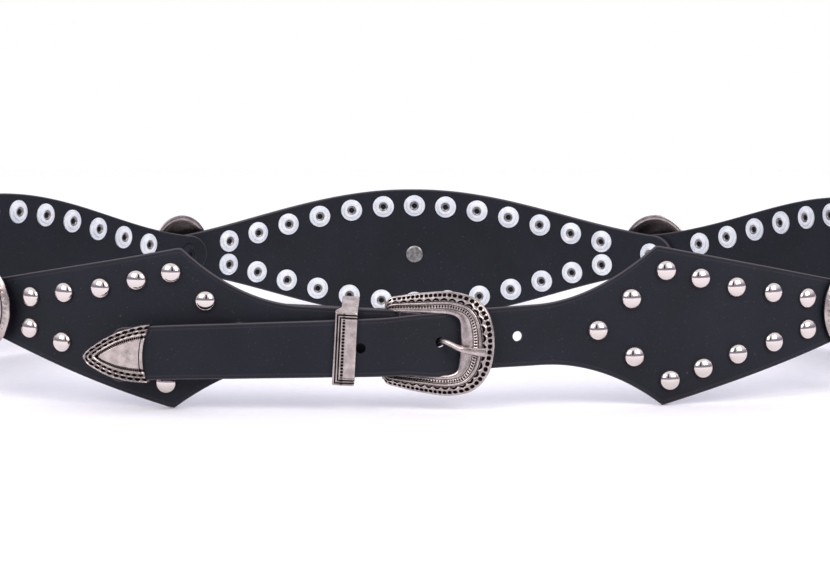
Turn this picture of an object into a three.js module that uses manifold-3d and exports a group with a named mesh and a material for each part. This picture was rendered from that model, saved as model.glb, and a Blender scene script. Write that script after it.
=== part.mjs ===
// Studded leather belt, buckled, standing on its lower edge as a loop.
// Millimetres, +Z up, buckle facing -Y. The origin is on the ground, in the middle of the loop.

import * as THREE from 'three';
import { mergeVertices } from 'three/addons/utils/BufferGeometryUtils.js';
import Module from 'manifold-3d';

const wasm = await Module();
wasm.setup();

// Leather sizes
const leather = 2.0;          // thickness of every panel and of the strap
const panelHeight = 52;       // height of a back panel's middle and of a front panel's peak
const eyePitch = 200;         // from one joint to the next along a back panel
const eyeEndHeight = 15;      // height of a back panel at its joints
const eyeEndReach = 9.5;      // from a joint to the round end of a back panel
const frontEndHeight = 16;    // height of a front panel at its joint
const peakReach = 72.5;       // from the front joint to the peak of a front panel
const neckReach = 40;         // from the peak to the straight strap
const strapWidth = 19.6;      // strap at the neck
const strapEndWidth = 17.4;   // strap at its metal tip
const foldWidth = 18.4;       // buckle-side strap
const heelReach = 140;        // from the front joint to the buckle's heel bar
const prongReach = 144;       // from the front joint to the hole that the prong is in
const strapReach = 253.9;      // from the front joint to the point of the metal tip
const foldMargin = 0.9;       // from the last pair of washers to the end of the leather turned back
const holeDiameter = 4.4;     // buckle holes
const holePitch = 25;         // from one buckle hole to the next

// Stud sizes
const studDiameter = 6.8;     // domed cap on the outside
const studRise = 2.3;         // height of the cap
const studPitch = 13.08;      // from stud to stud along a back panel
const studsPerRow = 13;       // in each of a back panel's two rows
const rowInset = 6.5;         // from a back panel's edge to its row of studs
const postDiameter = 2.4;     // shank through the leather
const washerDiameter = 8.5;   // nylon washer on the inside
const washerRise = 1.3;       // height of the washer
const centerRivetDiameter = 6.8;

// Joint ornament sizes
const conchoDiameter = 30;
const conchoRise = 4.0;
const conchoWall = 1.1;
const jointPostDiameter = 4.0;

// Buckle set sizes
const buckleLength = 34.3;    // from the heel bar to the outside of the bow
const buckleHeight = 33.2;
const slotClearance = 0.7;    // between the strap's edge and the buckle's arms
const buckleDrop = 0.8;       // middle of the buckle below the middle of the strap that holds it
const frameBack = 1.0;        // flat back of the frame behind its middle plane
const frameCrown = 1.4;       // crown of the frame in front of its middle plane
const heelBarDiameter = 2.8;
const prongThrow = 16.5;      // from the heel bar to the hole that the prong is in
const prongLength = 31.2;     // from the heel bar to the prong's end
const prongWidth = 2.0;
const keeperWidth = 7.1;      // along the strap
const keeperHeight = 23.6;
const keeperWall = 1.0;
const keeperReach = 13.4;     // from the heel bar to the keeper's middle
const keeperSlope = 0.38;     // rise of the keeper's top and bottom towards its back
const tipLength = 19.2;
const tipHeight = 18.9;
const tipThickness = 4.8;
const tipHollow = 1.7;        // depth of the hollow curve at the tip's open end

const gap = 0.3;              // clearance between pieces that touch

// Sides of the round bodies
const rivetSides = 6;         // rivets that are one body with their panel, and holes for shanks
const studSides = 8;
const holeSides = 12;
const conchoSides = 12;
const meshTolerance = 0.002;  // flat facets are merged to this accuracy

// The course is the middle line of the leather seen from above, and its height.
// at: share of half the girth from the middle of the back, minus on the buckle side
// heading: degrees, height: share of half the panel height, lean: degrees that the top leans inward
const course = [
  { at: -1.00, heading: -180, height: 0.880, lean: 6 },
  { at: -0.93, heading: -179, height: 0.930, lean: 0 },
  { at: -0.83, heading: -176, height: 1.002, lean: 0 },
  { at: -0.667, heading: -143, height: 1.165, lean: 0 },
  { at: -0.444, heading: -52.5, height: 1.285, lean: 0 },
  { at: -0.222, heading: -47, height: 1.130, lean: 0 },
  { at: -0.015, heading: 2, height: 1.000, lean: 0 },
  { at: 0.015, heading: 4, height: 1.000, lean: 0 },
  { at: 0.222, heading: 34.5, height: 1.123, lean: 0 },
  { at: 0.444, heading: 59, height: 1.200, lean: 0 },
  { at: 0.667, heading: 142, height: 1.107, lean: 0 },
  { at: 0.83, heading: 174.5, height: 1.002, lean: 0 },
  { at: 0.93, heading: 170, height: 0.905, lean: 4 },
  { at: 1.00, heading: 180, height: 0.880, lean: 6 },
];

// The loose strap after it has passed the buckle.
// past: share of the way from the heel bar to the tip, lift: outward from the leather behind it,
// in leather thicknesses, drop: below the middle of that leather, share of the strap's width
const strapRun = [
  { past: -0.60, lift: 0.0, drop: 0.00 },
  { past: -0.30, lift: 0.02, drop: 0.01 },
  { past: -0.24, lift: 0.2, drop: 0.02 },
  { past: -0.17, lift: 0.85, drop: 0.05 },
  { past: -0.08, lift: 1.5, drop: 0.085 },
  { past: 0.0, lift: 1.9, drop: 0.13 },
  { past: 0.2, lift: 2.35, drop: 0.19 },
  { past: 0.48, lift: 2.95, drop: 0.27 },
  { past: 0.79, lift: 4.2, drop: 0.37 },
  { past: 1.0, lift: 6.2, drop: 0.49 },
];

// Studs of a front panel, in pairs, and the single one at the neck.
// along: share of the way from the joint to the peak, off: share of half the panel height
const frontStuds = [
  { along: 0.284, off: 0.197 },
  { along: 0.465, off: 0.311 },
  { along: 0.645, off: 0.420 },
  { along: 0.811, off: 0.562 },
  { along: 0.964, off: 0.685 },
  { along: 1.122, off: 0.362 },
  { along: 1.279, off: 0 },
];

// Upper half of the buckle's frame, from the end of its arm to the middle of its bow.
// outX, inX: share of the buckle's length, outY: share of half its height, inY: of half its slot
const buckleRows = [
  { outX: -0.045, outY: 0.68, inX: -0.03, inY: 1.0 },
  { outX: 0.10, outY: 0.86, inX: 0.10, inY: 1.0 },
  { outX: 0.32, outY: 0.96, inX: 0.33, inY: 1.0 },
  { outX: 0.60, outY: 1.0, inX: 0.58, inY: 1.0 },
  { outX: 0.82, outY: 0.87, inX: 0.655, inY: 0.86 },
  { outX: 0.95, outY: 0.55, inX: 0.68, inY: 0.45 },
  { outX: 1.0, outY: 0, inX: 0.685, inY: 0 },
];

// Outline of the metal tip. back: share of its length from the point, half: share of its height
const tipRows = [
  { back: 1.0, half: 0.50 },
  { back: 0.80, half: 0.475 },
  { back: 0.60, half: 0.42 },
  { back: 0.40, half: 0.335 },
  { back: 0.20, half: 0.205 },
  { back: 0.07, half: 0.10 },
  { back: 0.0, half: 0.02 },
];

const black = new THREE.MeshStandardMaterial({ color: '#23242a', roughness: 0.62, metalness: 0 });
const silver = new THREE.MeshStandardMaterial({ color: '#a39c98', roughness: 0.38, metalness: 1 });
const nickel = new THREE.MeshStandardMaterial({ color: '#cfc6c0', roughness: 0.12, metalness: 1 });

// Lengths worked out from the sizes
const endReach = 1.5 * eyePitch;
const girth = 2 * endReach + heelReach + prongThrow + prongReach;
const heelStation = -(endReach + heelReach);
const looseReach = strapReach - prongReach - prongThrow;
const layer = leather + gap;
const foldRadius = heelBarDiameter / 2 + gap + leather / 2;
const lastPairReach = frontStuds.at(-2).along * peakReach;
const foldReach = heelReach - lastPairReach - washerDiameter / 2 - foldMargin;

// A column of a table as a smooth or straight-lined function of its first column.
function columnOf(table, key, name, Interpolant) {
  const keys = table.map((row) => row[key]);
  const values = table.map((row) => row[name]);
  const interpolant = new Interpolant(keys, values, 1);
  return (at) => interpolant.evaluate(THREE.MathUtils.clamp(at, keys[0], keys.at(-1)))[0];
}

// The course goes round, so that a few rows are repeated past both of its ends.
const turned = (row, turns) => ({ ...row, at: row.at + 2 * turns, heading: row.heading + 360 * turns });
const courseRound = [
  ...course.slice(-3, -1).map((row) => turned(row, -1)),
  ...course,
  ...course.slice(1, 3).map((row) => turned(row, 1)),
];
const headingShare = columnOf(courseRound, 'at', 'heading', THREE.LinearInterpolant);
const heightShare = columnOf(courseRound, 'at', 'height', THREE.CubicInterpolant);
const leanShare = columnOf(courseRound, 'at', 'lean', THREE.LinearInterpolant);
const liftShare = columnOf(strapRun, 'past', 'lift', THREE.CubicInterpolant);
const dropShare = columnOf(strapRun, 'past', 'drop', THREE.CubicInterpolant);

const headingAt = (s) => THREE.MathUtils.degToRad(headingShare(s / (girth / 2)));
const heightAt = (s) => heightShare(s / (girth / 2)) * panelHeight / 2;
const leanAt = (s) => THREE.MathUtils.degToRad(leanShare(s / (girth / 2)));
const slopeAt = (s) => Math.asin((heightAt(s + 1) - heightAt(s - 1)) / 2);

// Plan points of the course by summing its headings, with the small misfit spread along the loop.
const courseSteps = 900;
const planPoints = [new THREE.Vector2(0, 0)];
for (let i = 0; i < courseSteps; i += 1) {
  const s = ((i + 0.5) / courseSteps - 0.5) * girth;
  const level = Math.cos(slopeAt(s)) * girth / courseSteps;
  const step = new THREE.Vector2(Math.cos(headingAt(s)), -Math.sin(headingAt(s))).multiplyScalar(level);
  planPoints.push(planPoints[i].clone().add(step));
}
const misfit = planPoints[courseSteps].clone();
planPoints.forEach((point, i) => point.addScaledVector(misfit, -i / courseSteps));

// The belt's own axes at a station s along the course: along, up and out of the loop.
function axesAt(s) {
  const turn = s - girth * Math.round(s / girth);
  const place = (turn / girth + 0.5) * courseSteps;
  const i = Math.min(Math.floor(place), courseSteps - 1);
  const plan = planPoints[i].clone().lerp(planPoints[i + 1], place - i);
  const heading = headingAt(turn);
  const slope = slopeAt(turn);
  const lean = leanAt(turn);
  const flat = new THREE.Vector3(Math.cos(heading), -Math.sin(heading), 0);
  const level = new THREE.Vector3(Math.sin(heading), Math.cos(heading), 0);
  const along = flat.clone().multiplyScalar(Math.cos(slope)).setZ(Math.sin(slope));
  const upright = flat.clone().multiplyScalar(-Math.sin(slope)).setZ(Math.cos(slope));
  const up = upright.clone().multiplyScalar(Math.cos(lean)).addScaledVector(level, -Math.sin(lean));
  const out = level.clone().multiplyScalar(Math.cos(lean)).addScaledVector(upright, Math.sin(lean));
  return { point: new THREE.Vector3(plan.x, plan.y, heightAt(turn)), along, up, out };
}

// A point s along the course, v up and w out from its middle line.
function pointAt(s, v, w) {
  const { point, up, out } = axesAt(s);
  return point.addScaledVector(up, v).addScaledVector(out, w);
}

// A matrix whose x is along the belt, y out of the loop and z up, at a point of the belt.
// rise is how fast the leather there moves outward along the belt.
function matrixAt(s, v, w, rise = 0) {
  const { along, up, out } = axesAt(s);
  const run = along.clone().addScaledVector(out, rise).normalize();
  const face = out.clone().addScaledVector(along, -rise).normalize();
  return new THREE.Matrix4().makeBasis(run, face, up).setPosition(pointAt(s, v, w));
}

// Solids
function solidOf(geometry) {
  geometry.deleteAttribute('normal');
  geometry.deleteAttribute('uv');
  const merged = mergeVertices(geometry, 1e-4);
  const mesh = new wasm.Mesh({
    numProp: 3,
    vertProperties: new Float32Array(merged.attributes.position.array),
    triVerts: new Uint32Array(merged.index.array),
  });
  return new wasm.Manifold(mesh);
}

function geometryOf(solid) {
  const mesh = solid.getMesh();
  const geometry = new THREE.BufferGeometry();
  geometry.setAttribute('position', new THREE.BufferAttribute(new Float32Array(mesh.vertProperties), 3));
  geometry.setIndex(new THREE.BufferAttribute(new Uint32Array(mesh.triVerts), 1));
  return geometry;
}

const joined = (first, ...rest) => rest.reduce((sum, solid) => sum.add(solid), first);
const cut = (first, ...rest) => rest.reduce((left, solid) => left.subtract(solid), first);

// Rings of points, all of the same count, skinned into a closed body with flat ends.
function skinned(rings) {
  const count = rings[0].length;
  const positions = rings.flat().flatMap((point) => point.toArray());
  const index = [];
  for (let r = 0; r + 1 < rings.length; r += 1) {
    for (let k = 0; k < count; k += 1) {
      const a = r * count + k;
      const b = r * count + (k + 1) % count;
      index.push(a, b, b + count, a, b + count, a + count);
    }
  }
  const last = (rings.length - 1) * count;
  for (let k = 1; k + 1 < count; k += 1) {
    index.push(0, k + 1, k);
    index.push(last, last + k, last + k + 1);
  }
  const geometry = new THREE.BufferGeometry();
  geometry.setAttribute('position', new THREE.Float32BufferAttribute(positions, 3));
  geometry.setIndex(index);
  return solidOf(geometry);
}

// A strip of even thickness through sections { s, v, w, half }, square to its own run.
function strip(sections, thickness) {
  const rings = sections.map((section, i) => {
    const before = sections[Math.max(i - 1, 0)];
    const after = sections[Math.min(i + 1, sections.length - 1)];
    const inward = new THREE.Vector2(section.s - before.s, section.w - before.w).normalize();
    const onward = new THREE.Vector2(after.s - section.s, after.w - section.w).normalize();
    const run = inward.clone().add(onward).normalize();
    const bend = Math.max(run.dot(inward), run.dot(onward));
    const reach = thickness / 2 / bend;
    const corner = (side, edge) => pointAt(
      section.s - side * reach * run.y, section.v + edge * section.half, section.w + side * reach * run.x);
    return [corner(1, 1), corner(-1, 1), corner(-1, -1), corner(1, -1)];
  });
  return skinned(rings);
}

// A turned body from a profile of [radius, height out of the loop], set square on leather at a
// station s and a height v, where shiftOf gives how far out the leather lies at each station.
function turnedBody(profile, sides, s, v, shiftOf) {
  const points = profile.map(([radius, height]) => new THREE.Vector2(radius, height));
  const geometry = new THREE.LatheGeometry(points, sides);
  const rise = (shiftOf(s + 1) - shiftOf(s - 1)) / 2;
  return solidOf(geometry.applyMatrix4(matrixAt(s, v, shiftOf(s), rise)));
}

const level = () => 0;

function roundHole(diameter, sides, s, v, shiftOf) {
  const reach = 2 * layer + leather;
  const radius = diameter / 2;
  return turnedBody([[0, -reach], [radius, -reach], [radius, reach], [0, reach]], sides, s, v, shiftOf);
}

const group = new THREE.Group();

function addPiece(name, solid, material) {
  const mesh = new THREE.Mesh(geometryOf(solid.simplify(meshTolerance)), material);
  mesh.name = name;
  group.add(mesh);
}

// Back panels, shaped like an eye. Each lies outside its neighbour at its start, inside at its end.
const eyeWave = 1.15;         // the edge's wave is a little longer than the panel's pitch
const wave = (share) => (1 - Math.cos(Math.PI * share / eyeWave)) / (1 - Math.cos(Math.PI / eyeWave));
const eyeHalf = (u) => {
  const fall = (panelHeight - eyeEndHeight) / 2;
  return panelHeight / 2 - fall * wave(Math.abs(u) / (eyePitch / 2));
};
const endAngles = [80, 60, 30].map(THREE.MathUtils.degToRad);
const sinkAt = (share) => -layer * THREE.MathUtils.smoothstep(share, -0.6, 0.6);

function roundedEnd(joint, side, height, w, reach = height / 2) {
  const sections = endAngles.map((angle) => (
    { s: joint + side * reach * Math.sin(angle), v: 0, w, half: height / 2 * Math.cos(angle) }));
  return side < 0 ? sections : sections.reverse();
}

function backPanel(middle) {
  const sink = (s) => sinkAt((s - middle) / (eyePitch / 2));
  const section = (u) => ({ s: middle + u, v: 0, w: sink(middle + u), half: eyeHalf(u) });
  const steps = Array.from({ length: studsPerRow + 1 }, (_, i) => (i - studsPerRow / 2) * studPitch);
  const overlap = [1, 0.955, 0.905].map((share) => share * eyePitch / 2);
  const sections = [
    ...roundedEnd(middle - eyePitch / 2, -1, eyeEndHeight, 0, eyeEndReach),
    ...overlap.map((u) => section(-u)),
    ...steps.map(section),
    ...overlap.toReversed().map(section),
    ...roundedEnd(middle + eyePitch / 2, 1, eyeEndHeight, -layer, eyeEndReach),
  ];
  const rivets = [];
  for (let i = 0; i < studsPerRow; i += 1) {
    const u = (i - (studsPerRow - 1) / 2) * studPitch;
    for (const side of [1, -1]) {
      const v = side * (eyeHalf(u) - rowInset);
      rivets.push(cap(middle + u, v, sink), washer(middle + u, v, sink));
    }
  }
  const panel = joined(strip(sections, leather), ...rivets);
  const joints = [-1, 1].map((side) => (
    roundHole(jointPostDiameter + 2 * gap, studSides, middle + side * eyePitch / 2, 0, level)));
  return cut(panel, ...joints);
}

// Cap and washer of a rivet that are set hard on the leather, so that they are one body with it
const seated = 0.3 * leather;
const capRadius = studDiameter / 2;
const washerRadius = washerDiameter / 2;

function cap(s, v, shiftOf) {
  const face = leather / 2;
  const profile = [[0, face - seated], [capRadius, face - seated], [0.6 * capRadius, face + studRise],
    [0, face + studRise]];
  return turnedBody(profile, rivetSides, s, v, shiftOf);
}

function washer(s, v, shiftOf) {
  const face = -leather / 2;
  const profile = [[0, face - washerRise], [washerRadius, face - washerRise], [washerRadius, face + seated],
    [0, face + seated]];
  return turnedBody(profile, rivetSides, s, v, shiftOf);
}

// A rivet of its own: cap outside, shank through one or two leathers, washer inside
function stud(s, v, shiftOf, leathers) {
  const inside = -leather / 2 - gap - (leathers - 1) * layer;
  const outside = leather / 2 + gap;
  const shank = postDiameter / 2;
  return turnedBody([
    [0, inside - washerRise], [washerRadius, inside - washerRise], [washerRadius, inside],
    [shank, inside], [shank, outside], [capRadius, outside],
    [0.75 * capRadius, outside + 0.7 * studRise], [0, outside + studRise]], studSides, s, v, shiftOf);
}

// Front panels: a straight taper up to a peak, then a hollow curve down to the strap
const peakHalf = panelHeight / 2;
const neckStart = peakReach + neckReach;
const strapHalf = (u) => {
  const share = (u - neckStart) / (strapReach - tipLength - neckStart);
  return THREE.MathUtils.lerp(strapWidth, strapEndWidth, THREE.MathUtils.clamp(share, 0, 1)) / 2;
};
const frontHalf = (u, neckHalf) => {
  if (u < peakReach) return THREE.MathUtils.lerp(frontEndHeight / 2, peakHalf, u / peakReach);
  const rest = Math.max(1 - (u - peakReach) / neckReach, 0);
  return neckHalf + (peakHalf - neckHalf) * rest * rest;
};
const evenSteps = (from, to, step) => {
  const count = Math.max(Math.round((to - from) / step), 1);
  return Array.from({ length: count + 1 }, (_, i) => from + (to - from) * i / count);
};

const panelReaches = [
  ...evenSteps(0, peakReach, 9).slice(0, -1),
  ...evenSteps(peakReach, neckStart, 5.7),
];

function frontHoles(side, shiftOf) {
  const holes = [roundHole(jointPostDiameter + 2 * gap, studSides, side * endReach, 0, level)];
  for (const { along, off } of frontStuds) {
    const u = along * peakReach;
    for (const edge of off === 0 ? [1] : [1, -1]) {
      const station = side * (endReach + u);
      holes.push(roundHole(postDiameter + 2 * gap, rivetSides, station, edge * off * peakHalf, shiftOf));
    }
  }
  return holes;
}

// Outward and downward shift of the strap that goes through the buckle
const pastOf = (u) => (u - prongReach - prongThrow) / looseReach;
const lift = (u) => liftShare(pastOf(u)) * leather;
const drop = (u) => dropShare(pastOf(u)) * strapWidth;
const strapSection = (u) => ({ s: endReach + u, v: -drop(u), w: lift(u), half: frontHalf(u, strapHalf(u)) });

function strapPanel() {
  const strapEnd = strapReach - 0.2 * tipLength;
  const roundedFrom = strapEnd - 0.4 * strapEndWidth;
  const sections = [
    ...roundedEnd(endReach, -1, frontEndHeight, 0),
    ...panelReaches.map(strapSection),
    ...evenSteps(neckStart, roundedFrom, 9).slice(1).map(strapSection),
    { ...strapSection((roundedFrom + strapEnd) / 2), half: 0.36 * strapEndWidth },
    { ...strapSection(strapEnd), half: 0.12 * strapEndWidth },
  ];
  const holes = [-1, 0, 1].map((i) => {
    const u = prongReach + i * holePitch;
    return roundHole(holeDiameter, holeSides, endReach + u, -drop(u), (s) => lift(s - endReach));
  });
  return cut(strip(sections, leather), ...frontHoles(1, level), ...holes);
}

// The buckle side: its strap is turned back behind the heel bar, slit for the prong
const sinkFront = (s) => (
  -layer * THREE.MathUtils.smoothstep((s + endReach) / peakReach, -0.85, -0.12));

function bucklePanel() {
  const front = (u) => (
    { s: -(endReach + u), v: 0, w: sinkFront(-(endReach + u)), half: frontHalf(u, foldWidth / 2) });
  const back = (u) => {
    const near = THREE.MathUtils.smoothstep(heelReach - u, 0, 0.18 * foldReach);
    const w = THREE.MathUtils.lerp(-2 * foldRadius, -layer, near);
    return { s: -(endReach + u), v: 0, w, half: foldWidth / 2 };
  };
  const turn = [150, 120, 90, 60, 30].map(THREE.MathUtils.degToRad).map((angle) => ({
    s: heelStation - foldRadius * Math.sin(angle),
    v: 0,
    w: foldRadius * (Math.cos(angle) - 1),
    half: foldWidth / 2,
  }));
  const sections = [
    ...evenSteps(heelReach - foldReach, heelReach, 5).map(back),
    ...turn,
    ...evenSteps(neckStart, heelReach, 8).reverse().map(front),
    ...panelReaches.slice(0, -1).reverse().map(front),
    ...roundedEnd(-endReach, 1, frontEndHeight, -layer),
  ];
  const slit = new THREE.BoxGeometry(4.5 * foldRadius, 4.5 * foldRadius, prongWidth + 4 * gap);
  const slitSolid = solidOf(slit.applyMatrix4(matrixAt(heelStation, prongHinge, -foldRadius)));
  return cut(strip(sections, leather), ...frontHoles(-1, sinkFront), slitSolid);
}

// Buckle frame: a crowned band between two outlines, with the heel bar set back behind its arms
const prongHinge = 1.0;       // height of the prong's eye above the middle of the heel bar
const slotHalf = strapHalf(prongReach) + slotClearance;
const frameRise = leather / 2 + 3 * gap + frameBack;
const bowInside = buckleRows.at(-1).inX * buckleLength;
const frameTilt = Math.atan(frameRise / bowInside);
const band = [
  { t: 1, n: -1, back: true }, { t: 1, n: -0.1 }, { t: 0.72, n: 0.85 }, { t: 0.45, n: 1 },
  { t: 0.28, n: 0.45 }, { t: 0, n: 0.3 }, { t: 0, n: -1, back: true },
];

// Buckle axes: x towards the bow, y up, z out of the loop, from the arms' ends above the heel bar
function bucklePoint(x, y, z) {
  const { along, up, out } = axesAt(heelStation);
  const towards = along.clone().negate();
  const bow = towards.clone().multiplyScalar(Math.cos(frameTilt)).addScaledVector(out, Math.sin(frameTilt));
  const face = out.clone().multiplyScalar(Math.cos(frameTilt)).addScaledVector(towards, -Math.sin(frameTilt));
  return pointAt(heelStation, y - buckleDrop, 0).addScaledVector(bow, x).addScaledVector(face, z);
}

function buckleFrame() {
  const lower = buckleRows.slice(0, -1).reverse().map((row) => ({ ...row, outY: -row.outY, inY: -row.inY }));
  const rows = [...buckleRows, ...lower];
  const curveOf = (x, y, height) => new THREE.CatmullRomCurve3(rows.map((row) => (
    new THREE.Vector3(row[x] * buckleLength, row[y] * height, 0))), false, 'centripetal');
  const outer = curveOf('outX', 'outY', buckleHeight / 2);
  const inner = curveOf('inX', 'inY', slotHalf);
  const count = 2 * (rows.length - 1);
  const rings = Array.from({ length: count + 1 }, (_, i) => {
    const from = inner.getPoint(i / count);
    const to = outer.getPoint(i / count);
    const narrow = Math.min(to.distanceTo(from) / (0.2 * buckleLength), 1);
    return band.map(({ t, n, back }) => {
      const point = from.clone().lerp(to, t);
      return bucklePoint(point.x, point.y, back ? -frameBack : n * frameCrown * narrow);
    });
  });
  const bar = turnedBar(heelBarDiameter, 2 * slotHalf + heelBarDiameter);
  const lugs = [1, -1].map((side) => heelLug(side));
  return joined(skinned(rings), bar, ...lugs);
}

function turnedBar(diameter, length) {
  const geometry = new THREE.CylinderGeometry(diameter / 2, diameter / 2, length, 10);
  geometry.rotateX(Math.PI / 2);
  return solidOf(geometry.applyMatrix4(matrixAt(heelStation, -buckleDrop, -foldRadius)));
}

function heelLug(side) {
  const depth = foldRadius + heelBarDiameter / 2;
  const width = 0.8 * heelBarDiameter;
  const geometry = new THREE.BoxGeometry(heelBarDiameter, depth, width);
  const v = side * (slotHalf + width / 2) - buckleDrop;
  return solidOf(geometry.applyMatrix4(matrixAt(heelStation, v, -depth / 2)));
}

// Prong: an eye round the heel bar and a shank that comes up through the strap's hole and rests
// on the bow. Points are [towards the bow, up, out] from the middle of the strap at the heel bar.
const prongHalf = prongWidth / 2;
const eyeInside = heelBarDiameter / 2 + gap;

function prongPoints() {
  const strapAt = (x) => prongReach + prongThrow - x;
  const clear = leather / 2 + gap + prongHalf;
  const before = prongThrow - 0.9 * prongWidth;
  const after = prongThrow + 0.9 * prongWidth;
  const onBow = (x) => x * Math.tan(frameTilt) + frameCrown + 2 * gap + prongHalf;
  return [
    [eyeInside + prongHalf, prongHinge, -foldRadius],
    [0.5 * before, 0.3 * prongHinge, -0.7 * foldRadius],
    [before, -drop(strapAt(before)), lift(strapAt(before)) - clear],
    [after, -drop(strapAt(prongThrow)) - 0.02 * strapWidth, lift(strapAt(after)) + clear],
    [bowInside, -0.11 * strapWidth, onBow(bowInside)],
    [(bowInside + prongLength) / 2, -0.135 * strapWidth, onBow((bowInside + prongLength) / 2)],
    [prongLength, -0.145 * strapWidth, onBow(prongLength)],
  ];
}

function prong() {
  const ringShape = new THREE.Shape().absarc(0, 0, eyeInside + 0.7 * prongWidth, 0, 2 * Math.PI);
  ringShape.holes.push(new THREE.Path().absarc(0, 0, eyeInside, 0, 2 * Math.PI, true));
  const ring = new THREE.ExtrudeGeometry(ringShape, { depth: prongWidth, bevelEnabled: false, curveSegments: 6 });
  ring.translate(0, 0, -prongHalf);
  const ringSolid = solidOf(ring.applyMatrix4(matrixAt(heelStation, prongHinge, -foldRadius)));
  const { point, along, up, out } = axesAt(heelStation);
  const path = new THREE.CatmullRomCurve3(prongPoints().map(([towards, higher, outer]) => (
    point.clone().addScaledVector(along, -towards).addScaledVector(up, higher).addScaledVector(out, outer)
  )), false, 'centripetal');
  const chamfer = 0.3 * prongHalf;
  const flat = prongHalf - chamfer;
  const section = new THREE.Shape([
    [prongHalf, flat], [flat, prongHalf], [-flat, prongHalf], [-prongHalf, flat],
    [-prongHalf, -flat], [-flat, -prongHalf], [flat, -prongHalf], [prongHalf, -flat],
  ].map(([x, y]) => new THREE.Vector2(x, y)));
  const shank = new THREE.ExtrudeGeometry(section, { steps: 14, bevelEnabled: false, extrudePath: path });
  return joined(ringSolid, solidOf(shank));
}

// Keeper: a flat metal loop round the folded strap and the loose one, which lies lower
function keeper() {
  const u = prongReach + prongThrow + keeperReach;
  const play = leather / 2 + 1.5 * gap;
  const front = lift(u) + play;
  const back = -layer - play;
  const middleAt = (w) => -drop(u) / 2 + (lift(u) / 2 - w) * keeperSlope;
  const loop = (wall) => [[front + wall, 1], [front + wall, -1], [back - wall, -1], [back - wall, 1]]
    .map(([w, side]) => new THREE.Vector2(w, middleAt(w) + side * (keeperHeight / 2 - keeperWall + wall)));
  const shape = new THREE.Shape(loop(keeperWall));
  shape.holes.push(new THREE.Path(loop(0).reverse()));
  const geometry = new THREE.ExtrudeGeometry(shape, { depth: keeperWidth, bevelEnabled: false });
  geometry.translate(0, 0, -keeperWidth / 2);
  const { along, up, out } = axesAt(endReach + u);
  const axes = new THREE.Matrix4().makeBasis(out, up, along);
  return solidOf(geometry.applyMatrix4(axes.setPosition(pointAt(endReach + u, 0, 0))));
}

// Metal tip: a pointed cap over the strap's end, with a raised field and a hollow open end
function tip() {
  const section = (back, half) => ({ ...strapSection(strapReach - back * tipLength), half: half * tipHeight });
  const outside = strip(tipRows.map(({ back, half }) => section(back, half)), tipThickness);
  const field = strip([[1, 0.26], [0.65, 0.21], [0.35, 0.1], [0.22, 0.01]]
    .map(([back, half]) => section(back, half)), tipThickness + 2 * gap);
  const pocketEnd = strapReach - 0.2 * tipLength + gap;
  const pocket = strip([
    { ...strapSection(strapReach - 1.2 * tipLength), half: strapEndWidth / 2 + gap },
    { ...strapSection(pocketEnd - 0.4 * strapEndWidth), half: strapEndWidth / 2 + gap },
    { ...strapSection(pocketEnd - 0.2 * strapEndWidth), half: 0.36 * strapEndWidth + 2 * gap },
    { ...strapSection(pocketEnd), half: 0.12 * strapEndWidth + 2 * gap },
  ], leather + 2 * gap);
  const sweep = (tipHeight * tipHeight / 4 + tipHollow * tipHollow) / (2 * tipHollow);
  const u = strapReach - tipLength + tipHollow - sweep;
  const hollow = new THREE.CylinderGeometry(sweep, sweep, 3 * tipThickness, 32);
  const at = strapReach - tipLength;
  const { along } = axesAt(endReach + at);
  const placed = hollow.applyMatrix4(matrixAt(endReach + at, -drop(at), lift(at)));
  placed.translate(...along.clone().multiplyScalar(u - at).toArray());
  return cut(joined(outside, field), pocket, solidOf(placed));
}

// Domed ornament over a joint, hollow behind, with its post and the nylon washer inside
function concho(s) {
  const face = leather / 2 + gap;
  const radius = conchoDiameter / 2;
  const inside = -layer - leather / 2 - gap;
  const post = jointPostDiameter / 2;
  const top = face + conchoRise;
  return turnedBody([
    [0, inside - washerRise], [washerRadius, inside - washerRise], [washerRadius, inside], [post, inside],
    [post, top - 1.2 * conchoWall], [0.5 * radius, top - 1.3 * conchoWall], [0.92 * radius, face],
    [radius, face], [radius, face + 0.2 * conchoRise], [0.5 * radius, top - 0.1 * conchoRise], [0, top],
  ], conchoSides, s, 0, level);
}

// The rivet in the middle of the back, with a flat metal head inside
const centerShift = (s) => sinkAt(s / (eyePitch / 2));

function centerRivet() {
  const radius = centerRivetDiameter / 2;
  const shank = postDiameter / 2;
  const inside = -leather / 2 - gap;
  const outside = leather / 2 + gap;
  return turnedBody([
    [0, inside - 0.5 * washerRise], [radius, inside - 0.4 * washerRise], [radius, inside], [shank, inside],
    [shank, outside], [capRadius, outside], [0.75 * capRadius, outside + 0.7 * studRise],
    [0, outside + studRise]], studSides, 0, 0, centerShift);
}

addPiece('buckle_panel', bucklePanel(), black);
addPiece('back_panel_left', backPanel(-eyePitch), black);
addPiece('back_panel_right', backPanel(eyePitch), black);
const centerHole = roundHole(postDiameter + 2 * gap, rivetSides, 0, 0, centerShift);
addPiece('back_panel_center', cut(backPanel(0), centerHole), black);
addPiece('strap_panel', strapPanel(), black);
addPiece('center_rivet', centerRivet(), nickel);
addPiece('buckle_frame', buckleFrame(), silver);
addPiece('prong', prong(), silver);
addPiece('keeper', keeper(), silver);
addPiece('tip', tip(), silver);

const jointNames = ['left_front', 'left_back', 'right_back', 'right_front'];
jointNames.forEach((name, i) => addPiece(`concho_${name}`, concho((i - 1.5) * eyePitch), silver));

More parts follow.
